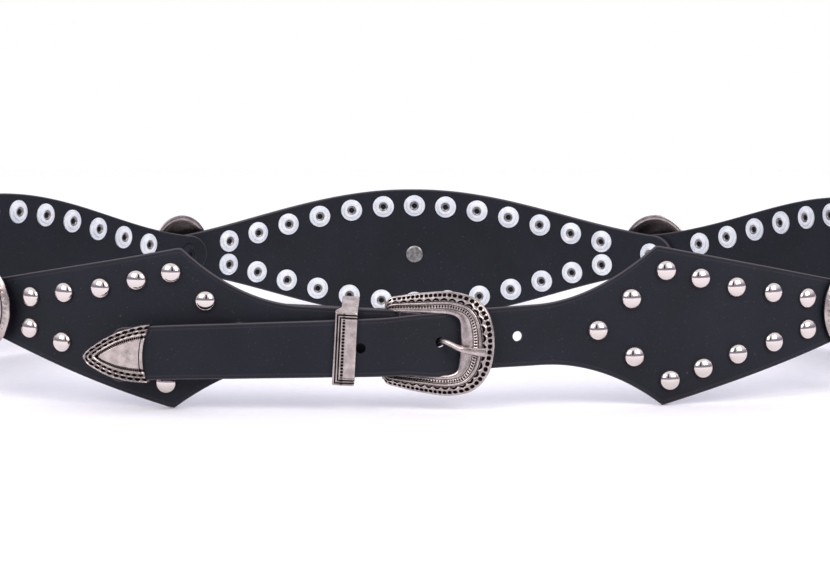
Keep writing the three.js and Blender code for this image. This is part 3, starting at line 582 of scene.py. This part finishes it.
def frame_body():
    """Crowned band between two outlines, with rim, notches, scallops, ridge and bead line pressed in.

    A point is the inner outline's plus a share t of the way to the outer one, raised by a crown over t.
    The ornament runs over g, the share of the way across past the plain inner lip.
    """
    bead_pitch, scallop_pitch, notch_pitch = 0.95, 2.6, 1.45
    lower = BUCKLE_ROWS[-2::-1] * [1, -1, 1, -1]
    rows = np.vstack([BUCKLE_ROWS, lower])
    share = np.linspace(0, 1, 560)
    scale = np.array([BUCKLE_LENGTH, BUCKLE_HEIGHT / 2, BUCKLE_LENGTH, OPENING_HALF])
    flat = rows * scale - [0, 0, 0, OPENING_DROP]
    outer, inner = curve_through(flat[:, :2], share), curve_through(flat[:, 2:], share)
    wide = np.linalg.norm(outer - inner, axis=1)[:, None]
    steps = np.linalg.norm(np.diff((outer + inner) / 2, axis=0), axis=1)
    length = np.concatenate([[0], np.cumsum(steps)])[:, None]
    narrow = np.minimum(wide / (0.2 * BUCKLE_LENGTH), 1)
    t = np.linspace(0, 1, 92)[None]
    plain = 0.2 + 0.16 * np.clip((wide - 6.5) / 3.5, 0, 1)
    g = (t - plain) / (1 - plain)
    beads = ridge(g, 0.02, 0.24) * (0.45 + 0.55 * np.cos(2 * np.pi * length / bead_pitch))
    line = sum(np.exp(-((g - at) / thick) ** 2) for at, thick in ((0.005, 0.016), (0.25, 0.016), (0.43, 0.02)))
    bow = 0.04 * np.cos(2 * np.pi * length / scallop_pitch)
    scallop = pits(g + bow, length, 0.52, 0.062, scallop_pitch, 0.86)
    arcs = np.exp(-((g + bow - 0.61) / 0.025) ** 2)
    phase = (length / notch_pitch) % 1 - 0.5
    notches = np.clip(4 * (1 - np.abs(phase / 0.36) ** 3 - np.abs((g - 0.79) / 0.1) ** 3), 0, 1)
    crown = eased([0, 0.04, 0.28, 0.45, 0.72, 0.96, 1], [0.1, 0.3, 0.42, 0.92, 0.82, 0.2, -0.1], t)
    z = FRAME_CROWN * narrow * crown
    z = z + narrow * (0.24 * ridge(g, 0.25, 0.43) + 0.16 * ridge(g, 0.9, 1.0) + 0.16 * arcs
                      - 0.26 * np.clip(beads, 0, 1) - 0.22 * line - 0.3 * scallop - 0.4 * notches)
    dark = np.clip(np.clip(beads, 0, 1) + 0.85 * line + scallop + 0.9 * notches + 0.25 * ridge(g, 0.66, 0.92)
                   + 0.45 * ridge(g, 0.42, 0.7) * (1 - arcs), 0, 1) * (g > -0.02)
    back = np.array([(1.0, -0.35), (0.985, -0.75), (0.95, -1.0), (0.5, -1.0), (0.05, -1.0), (0.015, -0.75),
                     (0.0, -0.3)])
    across = np.concatenate([t[0], back[:, 0]])
    behind = np.repeat(back[None, :, 1], len(share), 0) * FRAME_BACK
    heights = np.concatenate([np.minimum(z, 1.55), behind], 1)
    flat = inner[:, None] + across[None, :, None] * (outer - inner)[:, None]
    points = buckle_place(flat[..., 0], flat[..., 1], heights)
    points = np.concatenate([np.repeat(points[:1].mean(1, keepdims=True), points.shape[1], 1), points,
                             np.repeat(points[-1:].mean(1, keepdims=True), points.shape[1], 1)])
    dark = np.pad(dark, ((1, 1), (0, len(back))))
    return points, ring_faces(*points.shape[:2]), dark.ravel()


def rod(path, side, wide, deep, round_off, sides=20):
    """Tube along a path: a superellipse wide by deep at each point, capped at both ends."""
    path = np.asarray(path, float)
    run = np.gradient(path, axis=0)
    run /= np.linalg.norm(run, axis=1)[:, None]
    face = np.cross(run, side)
    face /= np.linalg.norm(face, axis=1)[:, None]
    across = np.cross(face, run)
    angle = np.linspace(0, 2 * np.pi, sides, endpoint=False)
    c, d = np.cos(angle), np.sin(angle)
    power = (2 / np.asarray(round_off, float))[:, None]
    x = np.sign(c) * np.abs(c) ** power * np.asarray(wide)[:, None] / 2
    y = np.sign(d) * np.abs(d) ** power * np.asarray(deep)[:, None] / 2
    points = path[:, None] + x[..., None] * across[:, None] + y[..., None] * face[:, None]
    points = np.concatenate([np.repeat(path[:1, None], sides, 1), points,
                             np.repeat(path[-1:, None], sides, 1)])
    return points, ring_faces(len(points), sides)


def heel_bodies():
    """Heel bar and the two lugs that carry it."""
    _, across, up, _ = axes_at(HEEL)
    middle = place(HEEL, -BUCKLE_DROP, -FOLD_RADIUS)
    reach = SLOT_HALF + 0.5 * HEEL_BAR
    steps = np.array([-1, -0.99, -0.9, 0, 0.9, 0.99, 1])
    size = HEEL_BAR * np.array([0.8, 0.95, 1, 1, 1, 0.95, 0.8])
    bodies = [rod(middle + up * (steps * reach)[:, None], across, size, size, np.full(7, 2.0))]
    deep = FOLD_RADIUS + HEEL_BAR / 2
    for side in (-1, 1):
        v = side * (SLOT_HALF + 0.4 * HEEL_BAR) - BUCKLE_DROP
        start, end = place(HEEL, v, 0.2), place(HEEL, v, -deep)
        path = start + (end - start) * np.array([0, 0.03, 0.1, 0.5, 0.9, 0.97, 1])[:, None]
        grow = np.array([0.85, 0.95, 1, 1, 1, 0.95, 0.8])
        bodies.append(rod(path, up, 0.8 * HEEL_BAR * grow, HEEL_BAR * grow, np.full(7, 5.0)))
    return bodies


def prong_bodies():
    """Eye round the heel bar, and a shank through the hole, squared where it rests on the bow.

    The shank is a superellipse carried along a curve through its spots (along, up, out), wider behind
    the strap and flared at its end.
    """
    half, eye = PRONG_WIDTH / 2, HEEL_BAR / 2 + GAP
    bow = BUCKLE_ROWS[-1, 2] * BUCKLE_LENGTH
    strap_at = lambda x: PRONG_REACH + PRONG_THROW - x
    clear = LEATHER / 2 + GAP + half
    before, after = PRONG_THROW - 0.9 * PRONG_WIDTH, PRONG_THROW + 0.9 * PRONG_WIDTH
    on_bow = lambda x: x * math.tan(FRAME_TILT) + FRAME_CROWN + 2 * GAP + half
    rest = (bow + PRONG_LENGTH) / 2
    spots = np.array([
        (eye + half, PRONG_HINGE, -FOLD_RADIUS), (0.5 * before, 0.3 * PRONG_HINGE, -0.7 * FOLD_RADIUS),
        (before, 0.6 - drop(strap_at(before)), lift(strap_at(before)) - clear),
        (after, 0.7 - drop(strap_at(PRONG_THROW)), lift(strap_at(after)) + clear),
        (bow, -0.11 * STRAP_WIDTH, on_bow(bow)), (rest, -0.135 * STRAP_WIDTH, on_bow(rest)),
        (PRONG_LENGTH, -0.145 * STRAP_WIDTH, on_bow(PRONG_LENGTH)),
    ])
    point, along, up, out = axes_at(HEEL)
    share = np.concatenate([np.linspace(0, 1, 90), [1.0]])
    flat = curve_through(spots, share)
    flat[-1, 0] += 0.01
    path = point - flat[:, :1] * along + flat[:, 1:2] * up + flat[:, 2:] * out
    squared = smoothstep(flat[:, 0], bow - 0.4, bow + 1.2)
    flared = smoothstep(flat[:, 0], bow + 0.6, PRONG_LENGTH)
    base = 1 - smoothstep(flat[:, 0], PRONG_THROW - 0.2, PRONG_THROW + 1.3)
    base_wide = 0.62 * base * smoothstep(flat[:, 0], eye, 2.5 * eye)
    wide = PRONG_WIDTH * (1.02 + base_wide - 0.08 * squared + 0.42 * flared)
    deep = PRONG_WIDTH * (0.95 - 0.2 * base + 0.1 * flared)
    wide[-1] *= 0.92
    deep[-1] *= 0.85
    shank = rod(path, up, wide, deep, 2 + 4 * squared)
    turn = np.linspace(0, 2 * np.pi, 33)
    middle = place(HEEL, PRONG_HINGE, -FOLD_RADIUS)
    way = np.cos(turn)[:, None] * along + np.sin(turn)[:, None] * out
    circle, even = middle + (eye + 0.35 * PRONG_WIDTH) * way, np.ones(len(turn))
    ring = rod(circle, up, PRONG_WIDTH * even, 0.68 * PRONG_WIDTH * even, 3 * even)
    return shank, ring


def keeper_body():
    """Flat loop: its front plate carries nested lines on three sides and an upright bead line.

    A rectangular ring carried across the keeper's width. The lines follow the distance to the plate's
    nearest edge.
    """
    bead_pitch, easings = 1.05, 3
    u = PRONG_REACH + PRONG_THROW + KEEPER_REACH
    play = LEATHER / 2 + 1.5 * GAP
    front, back = float(lift(u)) + play, -LAYER - play
    middle = lambda w: -drop(u) / 2 + (lift(u) / 2 - w) * KEEPER_SLOPE
    half = KEEPER_HEIGHT / 2

    def corner(wall, w, side):
        w = w + wall * (1 if w > 0 else -1)
        return np.array([w, middle(w) + side * (half - KEEPER_WALL + wall)])

    corners = [(front, -1), (front, 1), (back, 1), (back, -1)]
    counts = [150, 26, 40, 26]
    around, inside, on_front, height = [], [], [], []
    for (w0, side0), (w1, side1), count in zip(corners, corners[1:] + corners[:1], counts):
        share = np.linspace(0, 1, count, endpoint=False)[:, None]
        for store, wall in ((around, KEEPER_WALL), (inside, 0.0)):
            a, b = corner(wall, w0, side0), corner(wall, w1, side1)
            store.append(a + (b - a) * share)
        on_front.append(np.full(count, float(w0 == front and w1 == front)))
        height.append(share[:, 0] * 2 * half - half if w0 == front and w1 == front else np.full(count, half))
    around, inside = np.vstack(around), np.vstack(inside)
    on_front, height = np.concatenate(on_front)[:, None], np.concatenate(height)[:, None]
    for _ in range(easings):  # the corners are eased by averaging neighbours
        around = (np.roll(around, 1, 0) + 2 * around + np.roll(around, -1, 0)) / 4
    x = np.linspace(-1, 1, 72)[None] * KEEPER_WIDTH / 2
    edge = np.minimum(KEEPER_WIDTH / 2 - x + 0 * height, half - np.abs(height) + 0 * x)
    grooves = sum(np.exp(-((edge - at) / 0.23) ** 2) for at in (0.85, 1.75))
    ridges = ridge(edge, 0.0, 0.7) + ridge(edge, 1.0, 1.6) + ridge(edge, 1.9, 2.5)
    left = KEEPER_WIDTH / 2 - x
    ticks = (ridge(left, 2.3, 3.5) * (0.5 + 0.5 * np.cos(2 * np.pi * height / bead_pitch))
             * (np.abs(height) < half - 2.4))
    rounding = 0.35 * (np.abs(x) / (KEEPER_WIDTH / 2)) ** 14
    relief = on_front * (0.1 * ridges - 0.28 * np.clip(grooves, 0, 1) - 0.22 * ticks - 0.1) - rounding
    dark = on_front * np.clip(grooves + ticks + 0.25 * ridge(left, 2.3, 3.5), 0, 1) + 0.1
    outward = around - inside
    outward /= np.linalg.norm(outward, axis=1)[:, None]
    outer = around[:, None] + np.minimum(relief, 0)[..., None] * outward[:, None]
    within = np.repeat(inside[:, None], 2, 1)
    flat = np.concatenate([outer, within], 1)
    ends = np.tile([[KEEPER_WIDTH / 2, -KEEPER_WIDTH / 2]], (len(around), 1))
    span = np.concatenate([np.repeat(x, len(around), 0), ends], 1)
    flare = smoothstep(around[:, :1], front - 3.0, front - 0.2)  # the plate is wider than the band behind it
    span = np.where(span > 0, span * (0.5 + 0.5 * flare), span)
    point, along, up, out = axes_at(END_REACH + u)
    points = point + span[..., None] * along + flat[..., 1:] * up + flat[..., :1] * out
    dark = np.concatenate([dark, np.zeros((len(around), 2))], 1)
    points, dark = np.vstack([points, points[:1]]), np.vstack([dark, dark[:1]])
    return points, ring_faces(*points.shape[:2]), dark.ravel()


def tip_body():
    """Pointed cap: rings round its length, with bands at shares b of the way from outline to field.

    The outline scaled by 1 - 0.52b in height and 1 - 0.29b in length passes through the point at b.
    """
    rows, cols, halvings = 190, 132, 26
    stitch_pitch, bead_pitch = 2.3, 0.85
    back = np.linspace(0, 1, rows)[:, None] ** 1.15 * TIP_LENGTH
    q = np.linspace(-1, 1, cols)[None]
    half = lambda x: TIP_HEIGHT * np.where(x > 0, eased(TIP_ROWS[:, 0], TIP_ROWS[:, 1], x / TIP_LENGTH), 0)
    v = q * half(back)
    low, high = np.zeros_like(v), np.full_like(v, 1.25)
    for _ in range(halvings):
        b = (low + high) / 2
        outside = np.abs(v) > (1 - 0.52 * b) * half(TIP_LENGTH - (TIP_LENGTH - back) / (1 - 0.29 * b))
        low, high = np.where(outside, low, b), np.where(outside, b, high)
    b = (low + high) / 2
    level = np.linspace(0, TIP_LENGTH, 400)
    arc = np.concatenate([[0], np.cumsum(np.hypot(np.diff(level), np.diff(half(level))))])
    length = np.interp(TIP_LENGTH - (TIP_LENGTH - back) / (1 - 0.29 * np.minimum(b, 1)), level, arc)
    to_end = TIP_LENGTH - back + 0 * v
    first = pits(b, length, 0.22, 0.1, stitch_pitch, 0.8)
    second = pits(b, length + 1.1, 0.5, 0.085, stitch_pitch, 0.74)
    wave = np.exp(-((b - 0.365 - 0.025 * np.cos(2 * np.pi * length / stitch_pitch)) / 0.03) ** 2)
    ticks = ridge(b, 0.72, 0.92) * (0.5 + 0.5 * np.cos(2 * np.pi * length / bead_pitch))
    end_line = np.exp(-((to_end - 1.15) / 0.14) ** 2) * (b > 0.62)
    field = smoothstep(b, 0.9, 1.0)
    z = (0.14 * ridge(b, 0.0, 0.12) + 0.2 * wave + 0.18 * ridge(b, 0.6, 0.72) + 0.45 * field
         - 0.38 * first - 0.36 * second - 0.3 * ticks - 0.24 * end_line
         - 0.5 * (1 - smoothstep(b, 0, 0.06)) - 0.3 * np.exp(-(to_end / 0.25) ** 2))
    stitched = smoothstep(b, 0.1, 0.2) * (1 - smoothstep(b, 0.56, 0.64)) * (1 - wave)
    beaded = smoothstep(b, 0.7, 0.76) * (1 - smoothstep(b, 0.88, 0.95))
    dark = np.clip(first + second + ticks + end_line + 0.5 * stitched + 0.45 * beaded, 0, 1)
    top = TIP_THICKNESS / 2 - 0.25
    thick = smoothstep(back, -0.6, 2.5)
    under = np.array([(1.0, -0.2), (0.99, -1.2), (0.96, -1.9), (0.9, -2.2), (0.5, -2.35), (0.0, -2.4),
                      (-0.5, -2.35), (-0.9, -2.2), (-0.96, -1.9), (-0.99, -1.2), (-1.0, -0.2)])
    v_all = np.concatenate([v, half(back) * under[None, :, 0]], 1)
    w_all = np.concatenate([(top + z) * thick, np.repeat(under[None, :, 1], rows, 0) * thick], 1)
    back_all = back + 0 * v_all
    rim = [(0.0, 0.93, 0.86), (0.0, 0.86, 0.66), (-0.6, 0.85, 0.62), (-5.0, 0.8, 0.6), (-5.0, 0.0, 0.0)]
    for step, narrower, thinner in rim:
        back_all = np.vstack([back_all, back_all[rows - 1:rows] + step])
        v_all = np.vstack([v_all, v_all[rows - 1:rows] * narrower])
        w_all = np.vstack([w_all, w_all[rows - 1:rows] * thinner])
    dark = np.pad(dark, ((0, len(rim)), (0, len(under))))
    # painted shade: the end face and the pocket where the strap goes in are darkened almost to black
    dark[rows + 1:] = 0.9
    # the open end is hollowed by a parabola across its height, so its corners reach furthest
    across = np.clip(np.abs(v_all) / (TIP_HEIGHT / 2), 0, 1)
    u = STRAP_REACH - back_all + TIP_HOLLOW * (1 - across ** 2) * (back_all / TIP_LENGTH) ** 2
    start = u[:1].mean() + np.zeros((1, u.shape[1]))
    u, v_all, w_all = (np.vstack([first_row, rest]) for first_row, rest in (
        (start, u), (0 * v_all[:1], v_all), (0 * w_all[:1], w_all)))
    dark = np.pad(dark, ((1, 0), (0, 0)))
    points = place(END_REACH + u, v_all - drop(u), w_all + lift(u))
    return points, ring_faces(*points.shape[:2]), dark.ravel()


# Materials
def linear(code):
    """Linear colour of an sRGB hex value."""
    parts = [int(code[i:i + 2], 16) / 255 for i in (1, 3, 5)]
    return (*[x / 12.92 if x <= 0.04045 else ((x + 0.055) / 1.055) ** 2.4 for x in parts], 1.0)


def add(tree, kind, inputs=(), **settings):
    """Adds a node with its settings; inputs maps a socket's name or number to a value or an output."""
    made = tree.nodes.new(kind)
    for key, value in settings.items():
        setattr(made, key, value)
    for key, value in dict(inputs).items():
        if isinstance(value, bpy.types.NodeSocket):
            tree.links.new(value, made.inputs[key])
        else:
            made.inputs[key].default_value = value
    return made


def ramp(tree, factor, stops):
    """Colour ramp node with the given (place, colour) stops."""
    made = add(tree, "ShaderNodeValToRGB", {"Fac": factor})
    band = made.color_ramp
    while len(band.elements) < len(stops):
        band.elements.new(0.5)
    for element, (at, colour) in zip(band.elements, stops):
        element.position, element.color = at, colour
    return made.outputs["Color"]


def finish_of(name, constants):
    """A new material, its node tree and its shader, with constants set on the shader's own sockets."""
    material = bpy.data.materials.new(name)
    material.use_nodes = True
    shader = material.node_tree.nodes["Principled BSDF"]
    for key, value in constants.items():
        shader.inputs[key].default_value = value
    return material, material.node_tree, shader


def black_leather():
    """Corrected-grain cowhide, drum-dyed black, semi-matte: fine pores, faint dust, and a paler grey painted
    along the cut edges as a highlight.
    """
    material, tree, shader = finish_of("corrected_grain_leather_black", {"IOR": 1.5, "Specular IOR Level": 0.2})
    at = add(tree, "ShaderNodeTexCoord").outputs["Object"]
    cloud = add(tree, "ShaderNodeTexNoise", {"Vector": at, "Scale": 45.0, "Detail": 4.0}).outputs["Fac"]
    pores = add(tree, "ShaderNodeTexVoronoi", {"Vector": at, "Scale": 1400.0}).outputs["Distance"]
    dust = add(tree, "ShaderNodeTexNoise", {"Vector": at, "Scale": 1500.0, "Detail": 2.0}).outputs["Fac"]
    worn = add(tree, "ShaderNodeAttribute", attribute_name="worn").outputs["Fac"]
    base = ramp(tree, cloud, [(0.3, linear("#15161d")), (0.7, linear("#1b1d26"))])
    specks = ramp(tree, dust, [(0.68, (0, 0, 0, 1)), (0.8, (0.7, 0.7, 0.7, 1))])
    dusty = add(tree, "ShaderNodeMix", {0: specks, 6: base, 7: linear("#4c4d54")}, data_type="RGBA")
    # painted highlight: the cut edges are mixed towards a paler grey
    edged = add(tree, "ShaderNodeMix", {0: worn, 6: dusty.outputs[2], 7: linear("#5b5557")}, data_type="RGBA")
    tree.links.new(edged.outputs[2], shader.inputs["Base Color"])
    rough = ramp(tree, cloud, [(0.3, (0.5, 0.5, 0.5, 1)), (0.7, (0.62, 0.62, 0.62, 1))])
    tree.links.new(rough, shader.inputs["Roughness"])
    grain = add(tree, "ShaderNodeBump", {"Height": pores, "Strength": 0.35, "Distance": 0.00008})
    wave = add(tree, "ShaderNodeBump", {"Height": cloud, "Strength": 0.25, "Distance": 0.0006,
                                        "Normal": grain.outputs[0]})
    tree.links.new(wave.outputs[0], shader.inputs["Normal"])
    return material


def nylon():
    """Moulded natural nylon 6: milky, lets a little light in, satin face."""
    material, tree, shader = finish_of("moulded_nylon_natural", {
        "Roughness": 0.34, "IOR": 1.53, "Subsurface Weight": 0.35,
        "Subsurface Radius": (0.0012, 0.0012, 0.0014), "Subsurface Scale": 1.0})
    at = add(tree, "ShaderNodeTexCoord").outputs["Object"]
    cloud = add(tree, "ShaderNodeTexNoise", {"Vector": at, "Scale": 260.0, "Detail": 3.0}).outputs["Fac"]
    base = ramp(tree, cloud, [(0.35, linear("#cfd4da")), (0.7, linear("#e6e9ec"))])
    tree.links.new(base, shader.inputs["Base Color"])
    return material


def nickel_plate():
    """Bright nickel plate on steel caps: mirror-like with the faintest haze and scratches."""
    material, tree, shader = finish_of("bright_nickel_plate", {"Base Color": linear("#dcd2cb"), "Metallic": 1.0})
    at = add(tree, "ShaderNodeTexCoord").outputs["Object"]
    haze = add(tree, "ShaderNodeTexNoise", {"Vector": at, "Scale": 700.0, "Detail": 3.0}).outputs["Fac"]
    rough = ramp(tree, haze, [(0.4, (0.05, 0.05, 0.05, 1)), (0.75, (0.13, 0.13, 0.13, 1))])
    tree.links.new(rough, shader.inputs["Roughness"])
    return material


def antique_silver():
    """Cast zinc alloy with antiqued silver plate: black in its recesses, tumbled bright on top; the dark
    attribute also carries painted shade inside the tip's open end.
    """
    material, tree, shader = finish_of("cast_zinc_antique_silver_plate", {"Metallic": 1.0})
    at = add(tree, "ShaderNodeTexCoord").outputs["Object"]
    dark = add(tree, "ShaderNodeAttribute", attribute_name="dark").outputs["Fac"]
    cloud = add(tree, "ShaderNodeTexNoise", {"Vector": at, "Scale": 320.0, "Detail": 5.0,
                                             "Roughness": 0.6}).outputs["Fac"]
    scratch = add(tree, "ShaderNodeTexNoise", {"Vector": at, "Scale": 900.0, "Detail": 2.0,
                                               "Distortion": 3.0}).outputs["Fac"]
    plate = ramp(tree, cloud, [(0.3, linear("#9b8f8a")), (0.62, linear("#c9bdb7"))])
    mark = ramp(tree, scratch, [(0.3, (0.45, 0.45, 0.45, 1)), (0.42, (0, 0, 0, 1))])
    marked = add(tree, "ShaderNodeMix", {0: mark, 6: plate, 7: linear("#6f6764")}, data_type="RGBA")
    # the dark attribute is patina in the ornament's recesses, and painted shade inside the tip's open end
    patina_and_shade = ramp(tree, dark, [(0.12, (0, 0, 0, 1)), (0.7, (1, 1, 1, 1))])
    base = add(tree, "ShaderNodeMix", {0: patina_and_shade, 6: marked.outputs[2], 7: linear("#141214")}, data_type="RGBA")
    rough = add(tree, "ShaderNodeMix", {0: patina_and_shade, 2: 0.26, 3: 0.6})
    tree.links.new(base.outputs[2], shader.inputs["Base Color"])
    tree.links.new(rough.outputs[0], shader.inputs["Roughness"])
    bump = add(tree, "ShaderNodeBump", {"Height": cloud, "Strength": 0.25, "Distance": 0.00012})
    tree.links.new(bump.outputs[0], shader.inputs["Normal"])
    return material


def tube_steel():
    """Rolled end of a zinc-plated steel rivet tube: dull grey."""
    material, tree, shader = finish_of("zinc_plated_steel_tube", {"Metallic": 1.0, "Roughness": 0.38})
    at = add(tree, "ShaderNodeTexCoord").outputs["Object"]
    cloud = add(tree, "ShaderNodeTexNoise", {"Vector": at, "Scale": 900.0}).outputs["Fac"]
    base = ramp(tree, cloud, [(0.3, linear("#74726f")), (0.7, linear("#a09d99"))])
    tree.links.new(base, shader.inputs["Base Color"])
    return material


def white_sweep():
    """Matte white paper sweep."""
    material, tree, shader = finish_of("matte_white_paper", {"Roughness": 0.9})
    at = add(tree, "ShaderNodeTexCoord").outputs["Object"]
    fibre = add(tree, "ShaderNodeTexNoise", {"Vector": at, "Scale": 300.0}).outputs["Fac"]
    base = ramp(tree, fibre, [(0.3, linear("#f5f4f9")), (0.7, linear("#f9f8fc"))])
    tree.links.new(base, shader.inputs["Base Color"])
    return material


LEATHER_BLACK = black_leather()
NYLON = nylon()
NICKEL = nickel_plate()
SILVER = antique_silver()
TUBE_STEEL = tube_steel()


# Pieces of the belt
def build_back_panel(name, middle):
    """One back panel about the station in its middle, with its two rows of rivets."""
    piece(f"{name}_leather", [part(eye_body(middle), "worn")], [LEATHER_BLACK], [name])
    u = (np.arange(STUDS_PER_ROW) - (STUDS_PER_ROW - 1) / 2) * STUD_PITCH
    s = np.concatenate([middle + u, middle + u])
    v = np.concatenate([eye_half(u) - ROW_INSET, ROW_INSET - eye_half(u)])
    rivets(name, s, v, eye_shift(middle))


def build_front_studs(side_name, side, shift_of):
    """Studs of one front panel; the last one on the buckle side goes through the turned-back leather."""
    s, v, nodes = [], [], []
    for i, (along, off) in enumerate(FRONT_STUDS, 1):
        for row, edge in ([("middle", 0)] if off == 0 else [("upper", 1), ("lower", -1)]):
            s.append(side * (END_REACH + along * PEAK_REACH))
            v.append(edge * off * PANEL_HEIGHT / 2)
            nodes.append(f"stud_{side_name}_{row}_{i}")
    s, v = np.array(s), np.array(v)
    deeper = np.where((v == 0) & (side < 0), LAYER, 0.0)
    rivets(f"front_{side_name}", s, v, shift_of, deeper)
    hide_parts(*nodes)


for name, middle in (("left", -EYE_PITCH), ("center", 0.0), ("right", EYE_PITCH)):
    build_back_panel(f"back_panel_{name}", middle)

# Slit at the turn of the buckle's leather, for the prong
buckle_panel = piece("buckle_panel_leather", [part(buckle_body(), "worn")], [LEATHER_BLACK],
                     ["buckle_panel"])
slit = 2.25 * FOLD_RADIUS
heel = place(HEEL, PRONG_HINGE, -FOLD_RADIUS)
_, heel_along, heel_up, heel_out = axes_at(HEEL)
box = np.array([(x, y, z) for z in (-1, 1) for x, y in ((-1, -1), (1, -1), (1, 1), (-1, 1))], float)
box *= [slit, slit, PRONG_WIDTH / 2 + 2 * GAP]
cut_out(buckle_panel, heel + box[:, :1] * heel_along + box[:, 1:2] * heel_out + box[:, 2:] * heel_up,
        [(0, 3, 2, 1), (4, 5, 6, 7), (0, 1, 5, 4), (1, 2, 6, 5), (2, 3, 7, 6), (3, 0, 4, 7)])

# Three punched holes in the strap
strap_panel = piece("strap_panel_leather", [part(strap_body(), "worn")], [LEATHER_BLACK],
                    ["strap_panel"])
deep = 2 * LAYER
punch = turned([(0, -deep), (HOLE / 2, -deep), (HOLE / 2, deep), (0, deep)], CAP_SIDES)
for k in (-1, 0, 1):
    u = np.array([PRONG_REACH + k * HOLE_PITCH])
    cut_out(strap_panel, *set_on(*punch, END_REACH + u, -drop(u), lift(u), shift_rise(lift, u)))

build_front_studs("left", -1, buckle_shift)
build_front_studs("right", 1, lambda s: 0 * s)

# Ornament and washer at each joint
points, faces, dark = concho_body()
ring, tube = washer_bodies()
zero = np.zeros(1)
for i, name in enumerate(("left_front", "left_back", "right_back", "right_front")):
    s = np.array([(i - 1.5) * EYE_PITCH])
    piece(f"concho_{name}_dish", [(*set_on(points, faces, s, zero, zero, zero), 0, {"dark": dark})],
          [SILVER], [f"concho_{name}"])
    covered = name == "left_back"  # this washer doesn't show pale, so it is covered with black leather
    piece(f"concho_{name}_washer", [(*set_on(*ring, s, zero, zero - LAYER, zero), 0, {}),
                                    (*set_on(*tube, s, zero, zero - LAYER, zero), 1, {})],
          [LEATHER_BLACK, LEATHER_BLACK] if covered else [NYLON, TUBE_STEEL])

# Rivet in the middle of the back: cap outside, flat head inside
face = LEATHER / 2
head = [(0, 0.2 - face), (3.0, 0.2 - face), (3.3, -0.1 - face), (3.4, -0.3 - face), (3.2, -0.52 - face),
        (2.5, -0.62 - face), (1.1, -0.66 - face), (0.8, -0.58 - face), (0, -0.56 - face)]
w, rise = eye_shift(0.0)(zero), shift_rise(eye_shift(0.0), zero)
piece("center_rivet_metal", [(*set_on(*cap_body(), zero, zero, w, rise), 0, {}),
                             (*set_on(*turned(head, CAP_SIDES), zero, zero, w, rise), 1, {})],
      [NICKEL, TUBE_STEEL], ["center_rivet"])

# Buckle set
heel_parts = [(*body, 0, {"dark": 0.3}) for body in heel_bodies()]
prong_parts = [(*body, 0, {"dark": 0.12}) for body in prong_bodies()]
for name, parts, node in (("buckle_frame_cast", [part(frame_body(), "dark"), *heel_parts], "buckle_frame"),
                          ("prong_forged", prong_parts, "prong"),
                          ("keeper_loop", [part(keeper_body(), "dark")], "keeper"),
                          ("tip_cast", [part(tip_body(), "dark")], "tip")):
    piece(name, parts, [SILVER], [node])


# Floor, light and camera
def stage_sheet(name, corners, material):
    """Flat four-cornered sheet that belongs to the studio."""
    mesh = bpy.data.meshes.new(name)
    mesh.from_pydata(corners, [], [(0, 1, 2, 3)])
    mesh.materials.append(material)
    made = bpy.data.objects.new(name, mesh)
    bpy.context.scene.collection.objects.link(made)
    return made


stage_sheet("floor", [(-2.5, -2.5, 0), (2.5, -2.5, 0), (2.5, 0.9, 0), (-2.5, 0.9, 0)], white_sweep())
black_felt, _, _ = finish_of("black_felt", {"Base Color": linear("#050505")})
flag = stage_sheet("dark_gap_between_lamps",
                   [(-0.3, -2.4, 0.5), (0.3, -2.4, 0.5), (0.3, -2.4, 2.6), (-0.3, -2.4, 2.6)], black_felt)
flag.visible_camera = False

# Two square softboxes in front, aimed at the middle of the loop
LAMP_SIZE = 1.2
for name, spot, power in (("softbox_left", (-1.25, -1.5, 1.25), 17), ("softbox_right", (1.25, -1.5, 1.25), 22)):
    lamp = bpy.data.lights.new(name, "AREA")
    lamp.shape, lamp.size, lamp.energy, lamp.color = "SQUARE", LAMP_SIZE, power, linear("#fffaf6")[:3]
    made = bpy.data.objects.new(name, lamp)
    aim = (-Vector(spot)).to_track_quat("-Z", "Y").to_matrix().to_4x4()
    made.matrix_world = Matrix.Translation(spot) @ aim
    bpy.context.scene.collection.objects.link(made)

# Room: white where the camera sees it, and a grey wall under a bright ceiling for every other ray
CEILING = 1.12
world = bpy.data.worlds.new("white_room")
bpy.context.scene.world = world
world.use_nodes = True
room = world.node_tree
toward = add(room, "ShaderNodeTexCoord").outputs["Generated"]
height = add(room, "ShaderNodeSeparateXYZ", {0: toward}).outputs["Z"]
glow = ramp(room, height, [(0.0, linear("#a5a3b8")), (0.09, linear("#8c8a9c")), (0.17, linear("#8c8a9c")),
                           (0.5, linear("#f6f5ff"))])
ambient = add(room, "ShaderNodeBackground", {0: glow, 1: CEILING}).outputs[0]
seen = add(room, "ShaderNodeBackground", {0: (1, 1, 1, 1), 1: 1.0}).outputs[0]
camera_ray = add(room, "ShaderNodeLightPath").outputs["Is Camera Ray"]
pick = add(room, "ShaderNodeMixShader", {0: camera_ray, 1: ambient, 2: seen})
room.links.new(pick.outputs[0], room.nodes["World Output"].inputs["Surface"])

# Camera at the photograph's height and distance, looking a little down
LOOK_DOWN = 6.83
lens = bpy.data.cameras.new("camera")
lens.lens, lens.sensor_width = 117.4, 36.0
camera = bpy.data.objects.new("camera", lens)
camera.location = (-0.0008, -0.967, 0.1418)
camera.rotation_euler = (math.radians(90 - LOOK_DOWN), 0, 0)
bpy.context.scene.collection.objects.link(camera)
bpy.context.scene.camera = camera
bpy.context.scene.view_settings.view_transform = "Standard"
